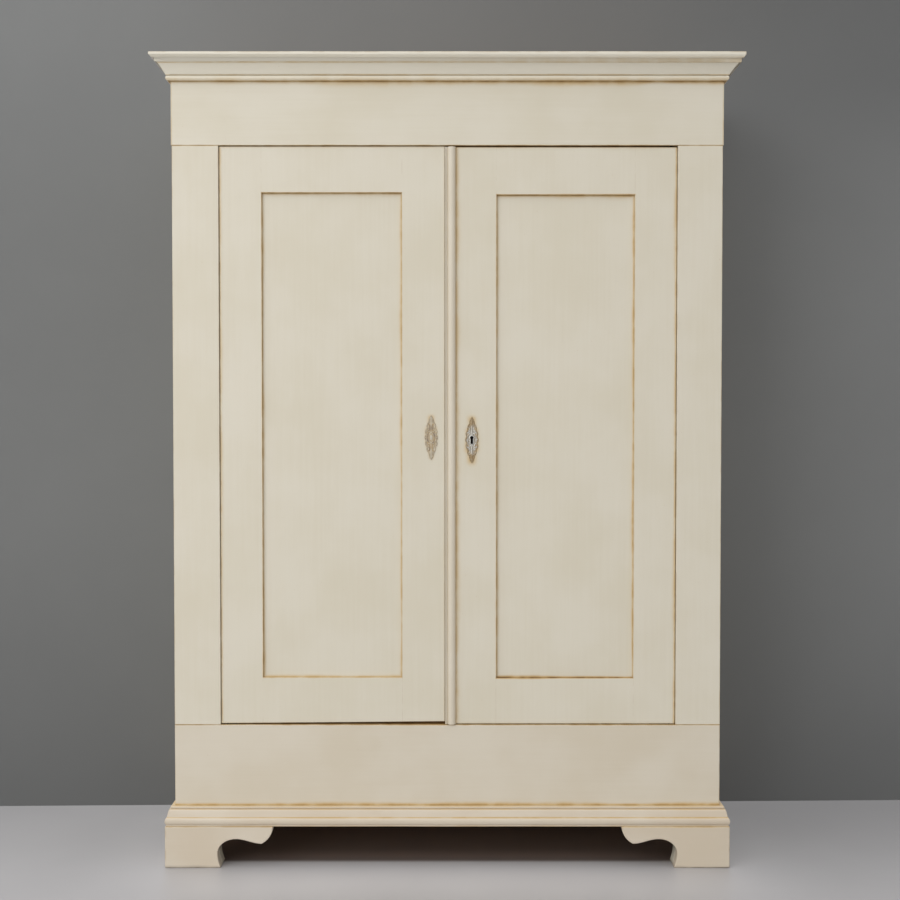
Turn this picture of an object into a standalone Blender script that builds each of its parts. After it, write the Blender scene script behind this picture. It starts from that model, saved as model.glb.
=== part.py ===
"""Painted pine wardrobe with two panelled doors, modelled as its joiner would build it.

The carcase is two side boards behind a front frame of two stiles between a frieze rail and a
lower rail, closed by a top board, a bottom board and a back of tongued boards. A mitred
cornice, a mitred base moulding and bracket feet are planted on it. Each door is a frame of
two stiles and two rails around a flat panel, and turns on pivot pins in its top and bottom
edges. The right door carries the cover strip and a rim lock, the left door two slide bolts.

Units are metres. X runs to the right, Y to the back and Z up. The origin lies on the floor
under the middle of the whole piece, and the doors are shut.
"""

import math

import bmesh
import bpy
from mathutils import Vector

# Clearance left between pieces that touch, and the rounding of their sawn edges
FIT = 0.0003
ARRIS = 0.0012
FOOT_ARRIS = 0.0018

# Facets of the round forms, and the angle in degrees above which an edge counts as hard
CURVE_STEPS = 12
SHORT_CURVE_STEPS = 6
SMALL_ROUND_SIDES = 16
POLE_SIDES = 24
HARD_EDGE = 40

# Carcase
BODY_WIDTH = 1.340
BODY_DEPTH = 0.520
SIDE_THICKNESS = 0.022
LOWER_RAIL_FACE = 0.198
OPENING_HEIGHT = 1.417
FRIEZE_FACE = 0.154
FRIEZE_OVERHANG = 0.002
LEFT_STILE_WIDTH = 0.113
RIGHT_STILE_WIDTH = 0.109
TOP_BOARD_THICKNESS = 0.020
TOP_BOARD_SINK = 0.003
BOTTOM_BOARD_THICKNESS = 0.020
HOUSING_DEPTH = 0.006
BEARER_WIDTH = 0.045
BEARER_HEIGHT = 0.060
BACK_THICKNESS = 0.014
BACK_REBATE = 0.010
BACK_BOARD_COUNT = 5
TONGUE_LENGTH = 0.006
TONGUE_THICKNESS = 0.005
TONGUE_PLAY = 0.001

# Cornice members from the bottom up: their heights, and how far each steps out from the last
CORNICE_BEAD_HEIGHT = 0.013
CORNICE_BEAD_REACH = 0.012
CORNICE_QUIRK = 0.0015
CORNICE_COVE_HEIGHT = 0.024
CORNICE_COVE_REACH = 0.0165
CORNICE_FILLET_HEIGHT = 0.010
CORNICE_FILLET_STEP = 0.007
CORNICE_NOSE_HEIGHT = 0.014
CORNICE_NOSE_REACH = 0.009

# Base moulding members from the bottom up
BASE_JOINT_HEIGHT = 0.0035
BASE_JOINT_DEPTH = 0.0030
BASE_TORUS_HEIGHT = 0.0195
BASE_TORUS_REACH = 0.0045
BASE_SLOPE_HEIGHT = 0.0185
BASE_SLOPE_REACH = 0.0050
BASE_SLOPE_HOLLOW = 0.5
BASE_QUIRK_HEIGHT = 0.0015
BASE_QUIRK_DEPTH = 0.0025
BASE_BEAD_HEIGHT = 0.0050
BASE_BEAD_REACH = 0.0100

# Bracket feet: reaches run inward from the outer corner
FOOT_HEIGHT = 0.102
FOOT_THICKNESS = 0.030
FOOT_BASE_WIDTH = 0.137
FOOT_WAIST_CUT = 0.008
FOOT_WAIST_HEIGHT = 0.036
FOOT_ARCH_REACH = 0.045
FOOT_BRIDGE = 0.031
FOOT_CUSP_DROP = 0.0115
FRONT_CUSP_REACH = 0.0635
SIDE_CUSP_REACH = 0.036
FOOT_EAR_REACH = 0.027
FOOT_EAR_SWEEP = 60
FOOT_BLOCK_DEPTH = 0.038
FOOT_POST_WIDTH = 0.070
FOOT_POST_DEPTH = 0.060

# Doors
DOOR_THICKNESS = 0.0255
DOOR_RECESS = 0.004
STOP_CLEARANCE = 0.0005
HINGE_GAP = 0.003
MEETING_LINE = -0.006
MEETING_GAP = 0.003
LEFT_TOP_GAP = 0.002
LEFT_BOTTOM_GAP = 0.003
LEFT_BOTTOM_LIFT = 0.005
RIGHT_TOP_GAP = 0.004
RIGHT_BOTTOM_GAP = 0.002
HINGE_STILE_WIDTH = 0.101
LEFT_MEETING_STILE_WIDTH = 0.105
RIGHT_MEETING_STILE_WIDTH = 0.123
LEFT_TOP_RAIL_HEIGHT = 0.112
RIGHT_TOP_RAIL_HEIGHT = 0.115
BOTTOM_RAIL_HEIGHT = 0.113
PANEL_RECESS = 0.0075
PANEL_THICKNESS = 0.009
PANEL_PLAY = 0.001
GROOVE_DEPTH = 0.010
TENON_LENGTH = 0.055
TENON_SHOULDER = 0.020

# Cover strip on the right door: a fillet, a sunk quirk and a round bead, left to right
STRIP_CLEARANCE = 0.001
STRIP_FILLET_WIDTH = 0.003
STRIP_FILLET_PROUD = 0.005
STRIP_QUIRK_WIDTH = 0.003
STRIP_QUIRK_PROUD = 0.0025
STRIP_BEAD_WIDTH = 0.0225
STRIP_BEAD_PROUD = 0.015

# Pivot hinges
PIVOT_INSET = 0.012
PIVOT_SETBACK = 0.007
PIVOT_PLATE_LENGTH = 0.036
PIVOT_PLATE_WIDTH = 0.011
PIVOT_PLATE_THICKNESS = 0.0025
PIVOT_PLATE_END = 0.010
PIN_RADIUS = 0.003
PIN_REACH = 0.006
PIN_PLAY = 0.0003

# Lock, keyhole and escutcheons
KEY_HEIGHT = 1.0485
KEY_BACKSET = 0.063
KEYHOLE_RADIUS = 0.0036
KEYHOLE_SLOT = 0.0046
KEYHOLE_LENGTH = 0.018
KEY_DEPTH = 0.009
ESCUTCHEON_WIDTH = 0.033
ESCUTCHEON_THICKNESS = 0.0018
ESCUTCHEON_FULLNESS = 0.85
ESCUTCHEON_LOBES = 7
ESCUTCHEON_NICK = 0.2
LEFT_ESCUTCHEON_LENGTH = 0.109
RIGHT_ESCUTCHEON_LENGTH = 0.114
LEFT_ESCUTCHEON_HEIGHT = 1.0545
LEFT_ESCUTCHEON_INSET = 0.0335
PIERCING_WIDTH = 0.0030
PIERCING_LENGTH = 0.0070
PIERCING_NEAR = 0.24
PIERCING_FAR = 0.5
PIERCING_SPREAD = 0.6
LOCK_WIDTH = 0.085
LOCK_HEIGHT = 0.076
LOCK_THICKNESS = 0.016
LOCK_RISE = 0.008
LOCK_EDGE_INSET = 0.001
LOCK_RIM = 0.006
LOCK_PLATE_THICKNESS = 0.002
LOCK_BOLT_HEIGHT = 0.024
LOCK_BOLT_THICKNESS = 0.008
LOCK_BOLT_LENGTH = 0.045
LOCK_BOLT_RISE = 0.0235
LOCK_BOLT_FLOOR = 0.004
KEEPER_LENGTH = 0.020
KEEPER_INSET = 0.0015
KEEPER_WALL = 0.0025
KEEPER_PLAY = 0.001
KEEPER_FLANGE = 0.014

# Door stops and the left door's slide bolts
STOP_DEPTH = 0.020
STOP_LAP = 0.018
STOP_FIXING = 0.022
STOP_END_INSET = 0.045
SLIDE_INSET = 0.040
SLIDE_LENGTH = 0.130
SLIDE_WIDTH = 0.012
SLIDE_THICKNESS = 0.006
SLIDE_PLATE_WIDTH = 0.034
SLIDE_PLATE_LENGTH = 0.100
SLIDE_PLATE_THICKNESS = 0.003
SLIDE_PLATE_INSET = 0.018
SLIDE_REST_GAP = 0.0015
SLIDE_HOLE_DEPTH = 0.015
SLIDE_HOLE_PLAY = 0.0008
STAPLE_LENGTH = 0.012
STAPLE_WALL = 0.002
STAPLE_END = 0.006
KNOB_NECK_RADIUS = 0.0035
KNOB_HEAD_RADIUS = 0.006
KNOB_HEIGHT = 0.016
KNOB_HEAD_HEIGHT = 0.007

# Inside fittings
SHELF_HEIGHT = 1.620
SHELF_THICKNESS = 0.020
SHELF_SETBACK = 0.050
CLEAT_WIDTH = 0.022
CLEAT_BELOW_POLE = 0.036
POLE_RADIUS = 0.014
POLE_DROP = 0.055
POLE_PLAY = 0.0006

# Levels up the front, and the planes and edges that the pieces line up on
FRAME_THICKNESS = DOOR_RECESS + DOOR_THICKNESS + STOP_CLEARANCE
BASE_PROJECTION = (BASE_BEAD_REACH + BASE_QUIRK_DEPTH + BASE_SLOPE_REACH + BASE_TORUS_REACH)
CORNICE_PROJECTION = (CORNICE_BEAD_REACH + CORNICE_QUIRK + CORNICE_COVE_REACH
                      + CORNICE_FILLET_STEP + CORNICE_NOSE_REACH)
BASE_HEIGHT = (BASE_JOINT_HEIGHT + BASE_TORUS_HEIGHT + BASE_SLOPE_HEIGHT
               + BASE_QUIRK_HEIGHT + BASE_BEAD_HEIGHT)
CORNICE_HEIGHT = (CORNICE_BEAD_HEIGHT + CORNICE_COVE_HEIGHT + CORNICE_FILLET_HEIGHT
                  + CORNICE_NOSE_HEIGHT)
Z_BASE_TOP = FOOT_HEIGHT + BASE_HEIGHT
Z_SILL = Z_BASE_TOP + LOWER_RAIL_FACE
Z_HEAD = Z_SILL + OPENING_HEIGHT
Z_CORNICE = Z_HEAD + FRIEZE_FACE
Z_TOP = Z_CORNICE + CORNICE_HEIGHT
Z_TOP_BOARD = Z_TOP - TOP_BOARD_SINK - TOP_BOARD_THICKNESS
X_SIDE = BODY_WIDTH / 2
X_INSIDE = X_SIDE - SIDE_THICKNESS
X_JAMB_LEFT = -X_SIDE + LEFT_STILE_WIDTH
X_JAMB_RIGHT = X_SIDE - RIGHT_STILE_WIDTH
Y_FRONT = (CORNICE_PROJECTION - BODY_DEPTH) / 2
Y_FRAME_BACK = Y_FRONT + FRAME_THICKNESS
Y_BACK = Y_FRONT + BODY_DEPTH
Y_BACK_BOARDS = Y_BACK - BACK_THICKNESS
Y_DOOR_FRONT = Y_FRONT + DOOR_RECESS
Y_DOOR_BACK = Y_DOOR_FRONT + DOOR_THICKNESS
RIGHT_MEETING_EDGE = MEETING_LINE + MEETING_GAP
KEY_X = RIGHT_MEETING_EDGE + KEY_BACKSET
SLIDE_X = MEETING_LINE - SLIDE_INSET
Y_SLIDE = Y_DOOR_BACK + FIT + SLIDE_PLATE_THICKNESS + FIT


# Materials

def srgb(red, green, blue):
    """Linear colour of an sRGB colour whose channels run from 0 to 255."""
    channels = []
    for step in (red, green, blue):
        share = step / 255
        if share <= 0.04045:
            channels.append(share / 12.92)
        else:
            channels.append(((share + 0.055) / 1.055) ** 2.4)
    return (*channels, 1.0)


def material(name, colour, roughness, metallic=0.0):
    """Material with one Principled shader."""
    made = bpy.data.materials.new(name)
    made.use_nodes = True
    shader = made.node_tree.nodes["Principled BSDF"]
    shader.inputs["Base Color"].default_value = colour
    shader.inputs["Roughness"].default_value = roughness
    shader.inputs["Metallic"].default_value = metallic
    made.diffuse_color = colour
    return made


# Helpers that make solids

def arc(middle, radii, start, end, steps):
    """Points of an elliptic arc from one angle to another, in degrees, both ends included."""
    points = []
    for step in range(steps + 1):
        angle = math.radians(start + (end - start) * step / steps)
        points.append((middle[0] + radii[0] * math.cos(angle),
                       middle[1] + radii[1] * math.sin(angle)))
    return points


def circle(middle, radius, sides=SMALL_ROUND_SIDES):
    """Points of a regular polygon inside a circle."""
    return arc(middle, (radius, radius), 0, 360, sides)[:-1]


def space_point(axis, along, pair):
    """Point at `along` on one axis, with a pair of coordinates on the other two, in order."""
    coordinates = list(pair)
    coordinates.insert("XYZ".index(axis), along)
    return Vector(coordinates)


def skin(rings):
    """Closed solid between two outlines with as many points each."""
    solid = bmesh.new()
    ends = []
    for ring in rings:
        ends.append([solid.verts.new(point) for point in ring])
    first, last = ends
    solid.faces.new(first)
    solid.faces.new(last)
    for index in range(len(first)):
        after = (index + 1) % len(first)
        solid.faces.new((first[index], first[after], last[after], last[index]))
    return solid


def prism(outline, axis, low, high):
    """Outline in the plane across one axis, drawn out along that axis."""
    return skin([[space_point(axis, along, pair) for pair in outline] for along in (low, high)])


def block(x, y, z):
    """Box between pairs of X, Y and Z limits, given in either order."""
    return prism([(x[0], y[0]), (x[1], y[0]), (x[1], y[1]), (x[0], y[1])], "Z", z[0], z[1])


def add_piece(name, solid, finish, carrier=None):
    """Object from a solid in world space, with its origin in the middle of its own box."""
    bmesh.ops.recalc_face_normals(solid, faces=solid.faces[:])
    low = Vector([min(vertex.co[axis] for vertex in solid.verts) for axis in range(3)])
    high = Vector([max(vertex.co[axis] for vertex in solid.verts) for axis in range(3)])
    middle = (low + high) / 2
    bmesh.ops.translate(solid, verts=solid.verts[:], vec=-middle)
    mesh = bpy.data.meshes.new(name)
    solid.to_mesh(mesh)
    solid.free()
    mesh.materials.append(finish)
    piece = bpy.data.objects.new(name, mesh)
    bpy.context.collection.objects.link(piece)
    piece.location = middle
    if carrier:
        piece.parent = carrier
        piece.location = middle - carrier.location
    return piece


def ease(piece, width=ARRIS, segments=2):
    """Round the hard edges of a piece."""
    bevel = piece.modifiers.new("eased_edges", "BEVEL")
    bevel.width = width
    bevel.segments = segments
    bevel.limit_method = "ANGLE"
    bevel.angle_limit = math.radians(HARD_EDGE)
    return piece


def work(piece, operation, solids):
    """Cut solids out of a piece or add them to it, and keep the result as its mesh."""
    tools = []
    for solid in solids:
        tool = add_piece(piece.name + "_tool", solid, piece.active_material)
        boolean = piece.modifiers.new(operation.lower(), "BOOLEAN")
        boolean.operation = operation
        boolean.solver = "EXACT"
        boolean.object = tool
        tools.append(tool)
    bpy.context.view_layer.update()
    evaluated = piece.evaluated_get(bpy.context.evaluated_depsgraph_get())
    worked = bpy.data.meshes.new_from_object(evaluated)
    piece.modifiers.clear()
    piece.data = worked
    for tool in tools:
        bpy.data.objects.remove(tool)
    return piece


def cut(piece, *solids):
    """Cut solids out of a piece."""
    return work(piece, "DIFFERENCE", solids)


def unite(piece, *solids):
    """Add solids to a piece as one body."""
    return work(piece, "UNION", solids)


def smooth(piece):
    """Shade the round stretches of a piece smooth and keep its hard edges."""
    piece.data.shade_smooth()
    piece.data.set_sharp_from_angle(angle=math.radians(HARD_EDGE))
    return piece


def board(name, x, y, z, finish, carrier=None):
    """Planed board with eased edges."""
    return ease(add_piece(name, block(x, y, z), finish, carrier))


def joint_axis(name, x, y, z):
    """Empty on the axis that a door turns about."""
    axis = bpy.data.objects.new(name, None)
    bpy.context.collection.objects.link(axis)
    axis.location = (x, y, z)
    return axis


# Carcase

def make_sides():
    """Side boards, rebated behind for the back boards and housed for the bottom board."""
    housing = (Z_SILL - BOTTOM_BOARD_THICKNESS - FIT, Z_SILL + FIT)
    rebate = Y_BACK_BOARDS - FIT
    for name, side in (("side_left", -1), ("side_right", 1)):
        outer = side * X_SIDE
        inner = side * X_INSIDE
        rebated = side * (X_INSIDE + BACK_REBATE)
        outline = [(outer, Y_FRAME_BACK + FIT), (inner, Y_FRAME_BACK + FIT), (inner, rebate),
                   (rebated, rebate), (rebated, Y_BACK), (outer, Y_BACK)]
        piece = add_piece(name, prism(outline, "Z", FOOT_HEIGHT, Z_TOP_BOARD - FIT), CREAM_PAINT)
        ease(piece)
        cut(piece, block((inner - side * HOUSING_DEPTH, inner + side * (HOUSING_DEPTH + FIT)),
                         (Y_FRONT, Y_BACK), housing))


def make_front_frame():
    """Frieze rail and lower rail, bored for the doors' pins, and the two stiles between."""
    front = (Y_FRONT, Y_FRAME_BACK)
    for name, x in (("front_stile_left", (-X_SIDE, X_JAMB_LEFT)),
                    ("front_stile_right", (X_JAMB_RIGHT, X_SIDE))):
        board(name, x, front, (Z_SILL + FIT, Z_HEAD - FIT), CREAM_PAINT)
    wide = X_SIDE + FRIEZE_OVERHANG
    shoulder = Z_CORNICE - FIT
    outline = [(-wide, Z_HEAD), (wide, Z_HEAD), (wide, shoulder), (X_SIDE, shoulder),
               (X_SIDE, Z_TOP_BOARD - FIT), (-X_SIDE, Z_TOP_BOARD - FIT), (-X_SIDE, shoulder),
               (-wide, shoulder)]
    frieze = ease(add_piece("frieze_rail", prism(outline, "Y", *front), CREAM_PAINT))
    lower = board("lower_rail", (-X_SIDE, X_SIDE), front, (FOOT_HEIGHT, Z_SILL), CREAM_PAINT)
    for rail, edge, into in ((frieze, Z_HEAD, 1), (lower, Z_SILL, -1)):
        cut(rail, *[pivot_bore(x, edge, into) for x in PIVOTS])


def make_top_and_bottom():
    """Top board on the sides, bottom board housed in them, and the bearer below it."""
    board("top_board", (-X_SIDE, X_SIDE), (Y_FRONT, Y_BACK),
          (Z_TOP_BOARD, Z_TOP_BOARD + TOP_BOARD_THICKNESS), OLD_PINE)
    housed = X_INSIDE + HOUSING_DEPTH
    inside = (Y_FRAME_BACK + FIT, Y_BACK_BOARDS - FIT)
    bottom = Z_SILL - BOTTOM_BOARD_THICKNESS
    board("bottom_board", (-housed, housed), inside, (bottom, Z_SILL), OLD_PINE)
    board("bottom_bearer", (-BEARER_WIDTH / 2, BEARER_WIDTH / 2), inside,
          (bottom - FIT - BEARER_HEIGHT, bottom - FIT), OLD_PINE)


def back_board_outline(left, right, grooved, tongued):
    """Plan of a back board with a groove in its left edge and a tongue on its right one."""
    middle = (Y_BACK_BOARDS + Y_BACK) / 2
    half = TONGUE_THICKNESS / 2
    outline = [(left, Y_BACK_BOARDS), (right, Y_BACK_BOARDS)]
    if tongued:
        outline += [(right, middle - half), (right + TONGUE_LENGTH, middle - half),
                    (right + TONGUE_LENGTH, middle + half), (right, middle + half)]
    outline += [(right, Y_BACK), (left, Y_BACK)]
    if grooved:
        deep = left + TONGUE_LENGTH + TONGUE_PLAY
        wide = half + FIT
        outline += [(left, middle + wide), (deep, middle + wide), (deep, middle - wide),
                    (left, middle - wide)]
    return outline


def make_back():
    """Upright back boards, tongued into each other, in the sides' rebates."""
    reach = X_INSIDE + BACK_REBATE - FIT
    pitch = 2 * reach / BACK_BOARD_COUNT
    for index in range(BACK_BOARD_COUNT):
        left = -reach + index * pitch
        last = index == BACK_BOARD_COUNT - 1
        outline = back_board_outline(left, left + pitch - FIT, index > 0, not last)
        solid = prism(outline, "Z", FOOT_HEIGHT, Z_TOP_BOARD - FIT)
        ease(add_piece(f"back_board_{index + 1}", solid, OLD_PINE), ARRIS, 1)


# Mouldings

def cornice_profile():
    """Cornice, as projection and height above its lower edge."""
    bead = CORNICE_BEAD_HEIGHT / 2
    bead_root = CORNICE_BEAD_REACH - bead
    cove_foot = CORNICE_BEAD_REACH + CORNICE_QUIRK
    cove_head = cove_foot + CORNICE_COVE_REACH
    fillet = cove_head + CORNICE_FILLET_STEP
    cove_top = CORNICE_BEAD_HEIGHT + CORNICE_COVE_HEIGHT
    fillet_top = cove_top + CORNICE_FILLET_HEIGHT
    nose = CORNICE_NOSE_HEIGHT / 2
    profile = [(0, 0)]
    profile += arc((bead_root, bead), (bead, bead), -90, 90, CURVE_STEPS)
    profile += arc((cove_head, CORNICE_BEAD_HEIGHT), (CORNICE_COVE_REACH, CORNICE_COVE_HEIGHT),
                   180, 90, CURVE_STEPS)
    profile += [(fillet, cove_top), (fillet, fillet_top)]
    profile += arc((CORNICE_PROJECTION - nose, fillet_top + nose), (nose, nose),
                   -90, 90, CURVE_STEPS)
    profile.append((0, CORNICE_HEIGHT))
    return profile


def base_profile():
    """Base moulding, as projection and height above the feet."""
    joint = BASE_PROJECTION - BASE_JOINT_DEPTH
    torus_foot = BASE_JOINT_HEIGHT
    torus_top = torus_foot + BASE_TORUS_HEIGHT
    slope_foot = BASE_PROJECTION - BASE_TORUS_REACH
    slope_head = slope_foot - BASE_SLOPE_REACH
    slope_top = torus_top + BASE_SLOPE_HEIGHT
    bead = BASE_BEAD_HEIGHT / 2
    bead_middle = (BASE_BEAD_REACH - bead, slope_top + BASE_QUIRK_HEIGHT + bead)
    quirk = slope_head - BASE_QUIRK_DEPTH - bead
    profile = [(0, 0), (joint, 0), (joint, torus_foot)]
    profile += arc((slope_foot, torus_foot + BASE_TORUS_HEIGHT / 2),
                   (BASE_TORUS_REACH, BASE_TORUS_HEIGHT / 2), -90, 90, CURVE_STEPS)
    for step in range(SHORT_CURVE_STEPS + 1):
        rise = step / SHORT_CURVE_STEPS
        sag = 1 - math.sqrt(1 - rise)
        back = BASE_SLOPE_HOLLOW * sag + (1 - BASE_SLOPE_HOLLOW) * rise
        profile.append((slope_foot - BASE_SLOPE_REACH * back,
                        torus_top + BASE_SLOPE_HEIGHT * rise))
    profile += [(quirk, slope_top), (quirk, slope_top + BASE_QUIRK_HEIGHT)]
    profile += arc(bead_middle, (bead, bead), -90, 90, CURVE_STEPS)
    profile.append((0, BASE_HEIGHT))
    return profile


def moulding(name, profile, foot, start, end, outward, mitres):
    """Length of moulding from start to end. A mitred end grows longer with the projection."""
    run = (end - start).normalized()
    rings = []
    for corner, turn, mitred in ((start, -1, mitres[0]), (end, 1, mitres[1])):
        ring = []
        for projection, height in profile:
            point = corner + outward * projection + Vector((0, 0, foot + height))
            if mitred:
                point += run * turn * (projection - FIT)
            ring.append(point)
        rings.append(ring)
    return smooth(add_piece(name, skin(rings), CREAM_PAINT))


def make_mouldings():
    """Cornice and base moulding, each in a front length and two side lengths."""
    reach = X_SIDE + FIT
    front = Y_FRONT - FIT
    corners = {-1: Vector((-reach, front, 0)), 1: Vector((reach, front, 0))}
    ends = {-1: Vector((-reach, Y_BACK, 0)), 1: Vector((reach, Y_BACK, 0))}
    for kind, profile, foot in (("cornice", cornice_profile(), Z_CORNICE),
                                ("base_moulding", base_profile(), FOOT_HEIGHT)):
        moulding(f"{kind}_front", profile, foot, corners[-1], corners[1], Vector((0, -1, 0)),
                 (True, True))
        for name, side in (("left", -1), ("right", 1)):
            moulding(f"{kind}_{name}", profile, foot, corners[side], ends[side],
                     Vector((side, 0, 0)), (True, False))


# Bracket feet

def foot_flank():
    """Inner edge of a foot, from the floor up round the arch to its crown."""
    waist = FOOT_BASE_WIDTH - FOOT_WAIST_CUT
    points = []
    for step in range(SHORT_CURVE_STEPS):
        drop = 1 - step / SHORT_CURVE_STEPS
        points.append((waist + FOOT_WAIST_CUT * drop ** 2, FOOT_WAIST_HEIGHT * (1 - drop)))
    rise = FOOT_HEIGHT - FOOT_BRIDGE - FOOT_WAIST_HEIGHT
    points += arc((waist + FOOT_ARCH_REACH, FOOT_WAIST_HEIGHT), (FOOT_ARCH_REACH, rise),
                  180, 90, CURVE_STEPS)
    return points


def bracket_outline(cusp_reach):
    """Face of a bracket: the foot, the arch, a cusp and a rounded ear."""
    crown_x = FOOT_BASE_WIDTH - FOOT_WAIST_CUT + FOOT_ARCH_REACH
    crown_z = FOOT_HEIGHT - FOOT_BRIDGE
    cusp_x = crown_x + cusp_reach
    cusp_z = crown_z - FOOT_CUSP_DROP
    top = FOOT_HEIGHT - FIT
    outline = [(0, 0)] + foot_flank()
    for step in range(1, CURVE_STEPS + 1):
        run = step / CURVE_STEPS
        fall = (1 - math.cos(math.pi * run)) / 2
        outline.append((crown_x + cusp_reach * run, crown_z - FOOT_CUSP_DROP * fall))
    sweep = math.radians(FOOT_EAR_SWEEP)
    ear = (FOOT_EAR_REACH / (1 - math.cos(sweep)), (top - cusp_z) / math.sin(sweep))
    outline += arc((cusp_x + FOOT_EAR_REACH - ear[0], top), ear,
                   -FOOT_EAR_SWEEP, 0, SHORT_CURVE_STEPS)[1:]
    outline.append((0, top))
    return outline


def bracket(name, corner, along, inward, cusp_reach, mitred):
    """Bracket drawn from its outer corner, mitred there where another one meets it."""
    rings = [[], []]
    for reach, height in bracket_outline(cusp_reach):
        level = Vector((0, 0, height))
        at_corner = mitred and reach == 0
        gap = FIT if at_corner else 0
        depth = FOOT_THICKNESS if at_corner else 0
        rings[0].append(corner + along * (reach + gap) + level)
        rings[1].append(corner + along * (reach + gap + depth) + inward * FOOT_THICKNESS + level)
    return ease(add_piece(name, skin(rings), CREAM_PAINT), FOOT_ARRIS)


def make_feet():
    """Two mitred brackets and a block at each front corner, a bracket and a post behind."""
    reach = X_SIDE + BASE_PROJECTION
    front = Y_FRONT - BASE_PROJECTION
    into = FOOT_THICKNESS + FIT
    crown_x = FOOT_BASE_WIDTH - FOOT_WAIST_CUT + FOOT_ARCH_REACH
    block_outline = ([(into, 0)] + foot_flank()
                     + [(crown_x, FOOT_HEIGHT - FIT), (into, FOOT_HEIGHT - FIT)])
    for name, side in (("left", -1), ("right", 1)):
        inward = Vector((-side, 0, 0))
        back = Vector((0, 1, 0))
        corner = Vector((side * reach, front, 0))
        rear_corner = Vector((side * reach, Y_BACK, 0))
        bracket(f"foot_front_{name}", corner, inward, back, FRONT_CUSP_REACH, True)
        bracket(f"foot_side_front_{name}", corner, back, inward, SIDE_CUSP_REACH, True)
        bracket(f"foot_side_rear_{name}", rear_corner, -back, inward, SIDE_CUSP_REACH, False)
        outline = [(side * (reach - along), height) for along, height in block_outline]
        solid = prism(outline, "Y", front + into, front + into + FOOT_BLOCK_DEPTH)
        ease(add_piece(f"foot_block_front_{name}", solid, OLD_PINE), ARRIS, 1)
        post = side * (reach - into)
        board(f"foot_post_rear_{name}", (post, post - side * FOOT_POST_WIDTH),
              (Y_BACK - FOOT_POST_DEPTH, Y_BACK), (0, FOOT_HEIGHT - FIT), OLD_PINE)


# Pivot hinges

def pivot_bore(x, edge, into):
    """Hole for a pin, from outside a rail's edge to just past the pin's end."""
    return prism(circle((x, PIVOT_Y), PIN_RADIUS + PIN_PLAY), "Z",
                 edge - into * PIN_REACH, edge + into * (PIN_REACH + FIT))


def pivot_plate(x, toward, edge, out, play=0.0):
    """Plate let into a door's edge, its long end toward the door. Play makes it its recess."""
    return block((x - toward * (PIVOT_PLATE_END + play),
                  x + toward * (PIVOT_PLATE_LENGTH - PIVOT_PLATE_END + play)),
                 (PIVOT_Y - PIVOT_PLATE_WIDTH / 2 - play,
                  PIVOT_Y + PIVOT_PLATE_WIDTH / 2 + play),
                 (edge + out * play, edge - out * (PIVOT_PLATE_THICKNESS + play)))


def make_pivot_pin(name, x, toward, edge, frame_edge, out, carrier):
    """Plate in a door's top or bottom edge with the pin that turns in a rail's bore."""
    plate = add_piece(name, pivot_plate(x, toward, edge, out), DARK_IRON, carrier)
    pin = prism(circle((x, PIVOT_Y), PIN_RADIUS), "Z",
                edge - out * PIVOT_PLATE_THICKNESS / 2, frame_edge + out * PIN_REACH)
    smooth(unite(plate, pin))


# Doors

def lift_bottom(solid, bottom, hinge_edge, meeting_edge, lift):
    """Trim the bottom edge of a door's piece so that it rises toward the meeting edge."""
    for vertex in solid.verts:
        if abs(vertex.co.z - bottom) < FIT / 2:
            vertex.co.z += lift * (vertex.co.x - hinge_edge) / (meeting_edge - hinge_edge)
    return solid


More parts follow.
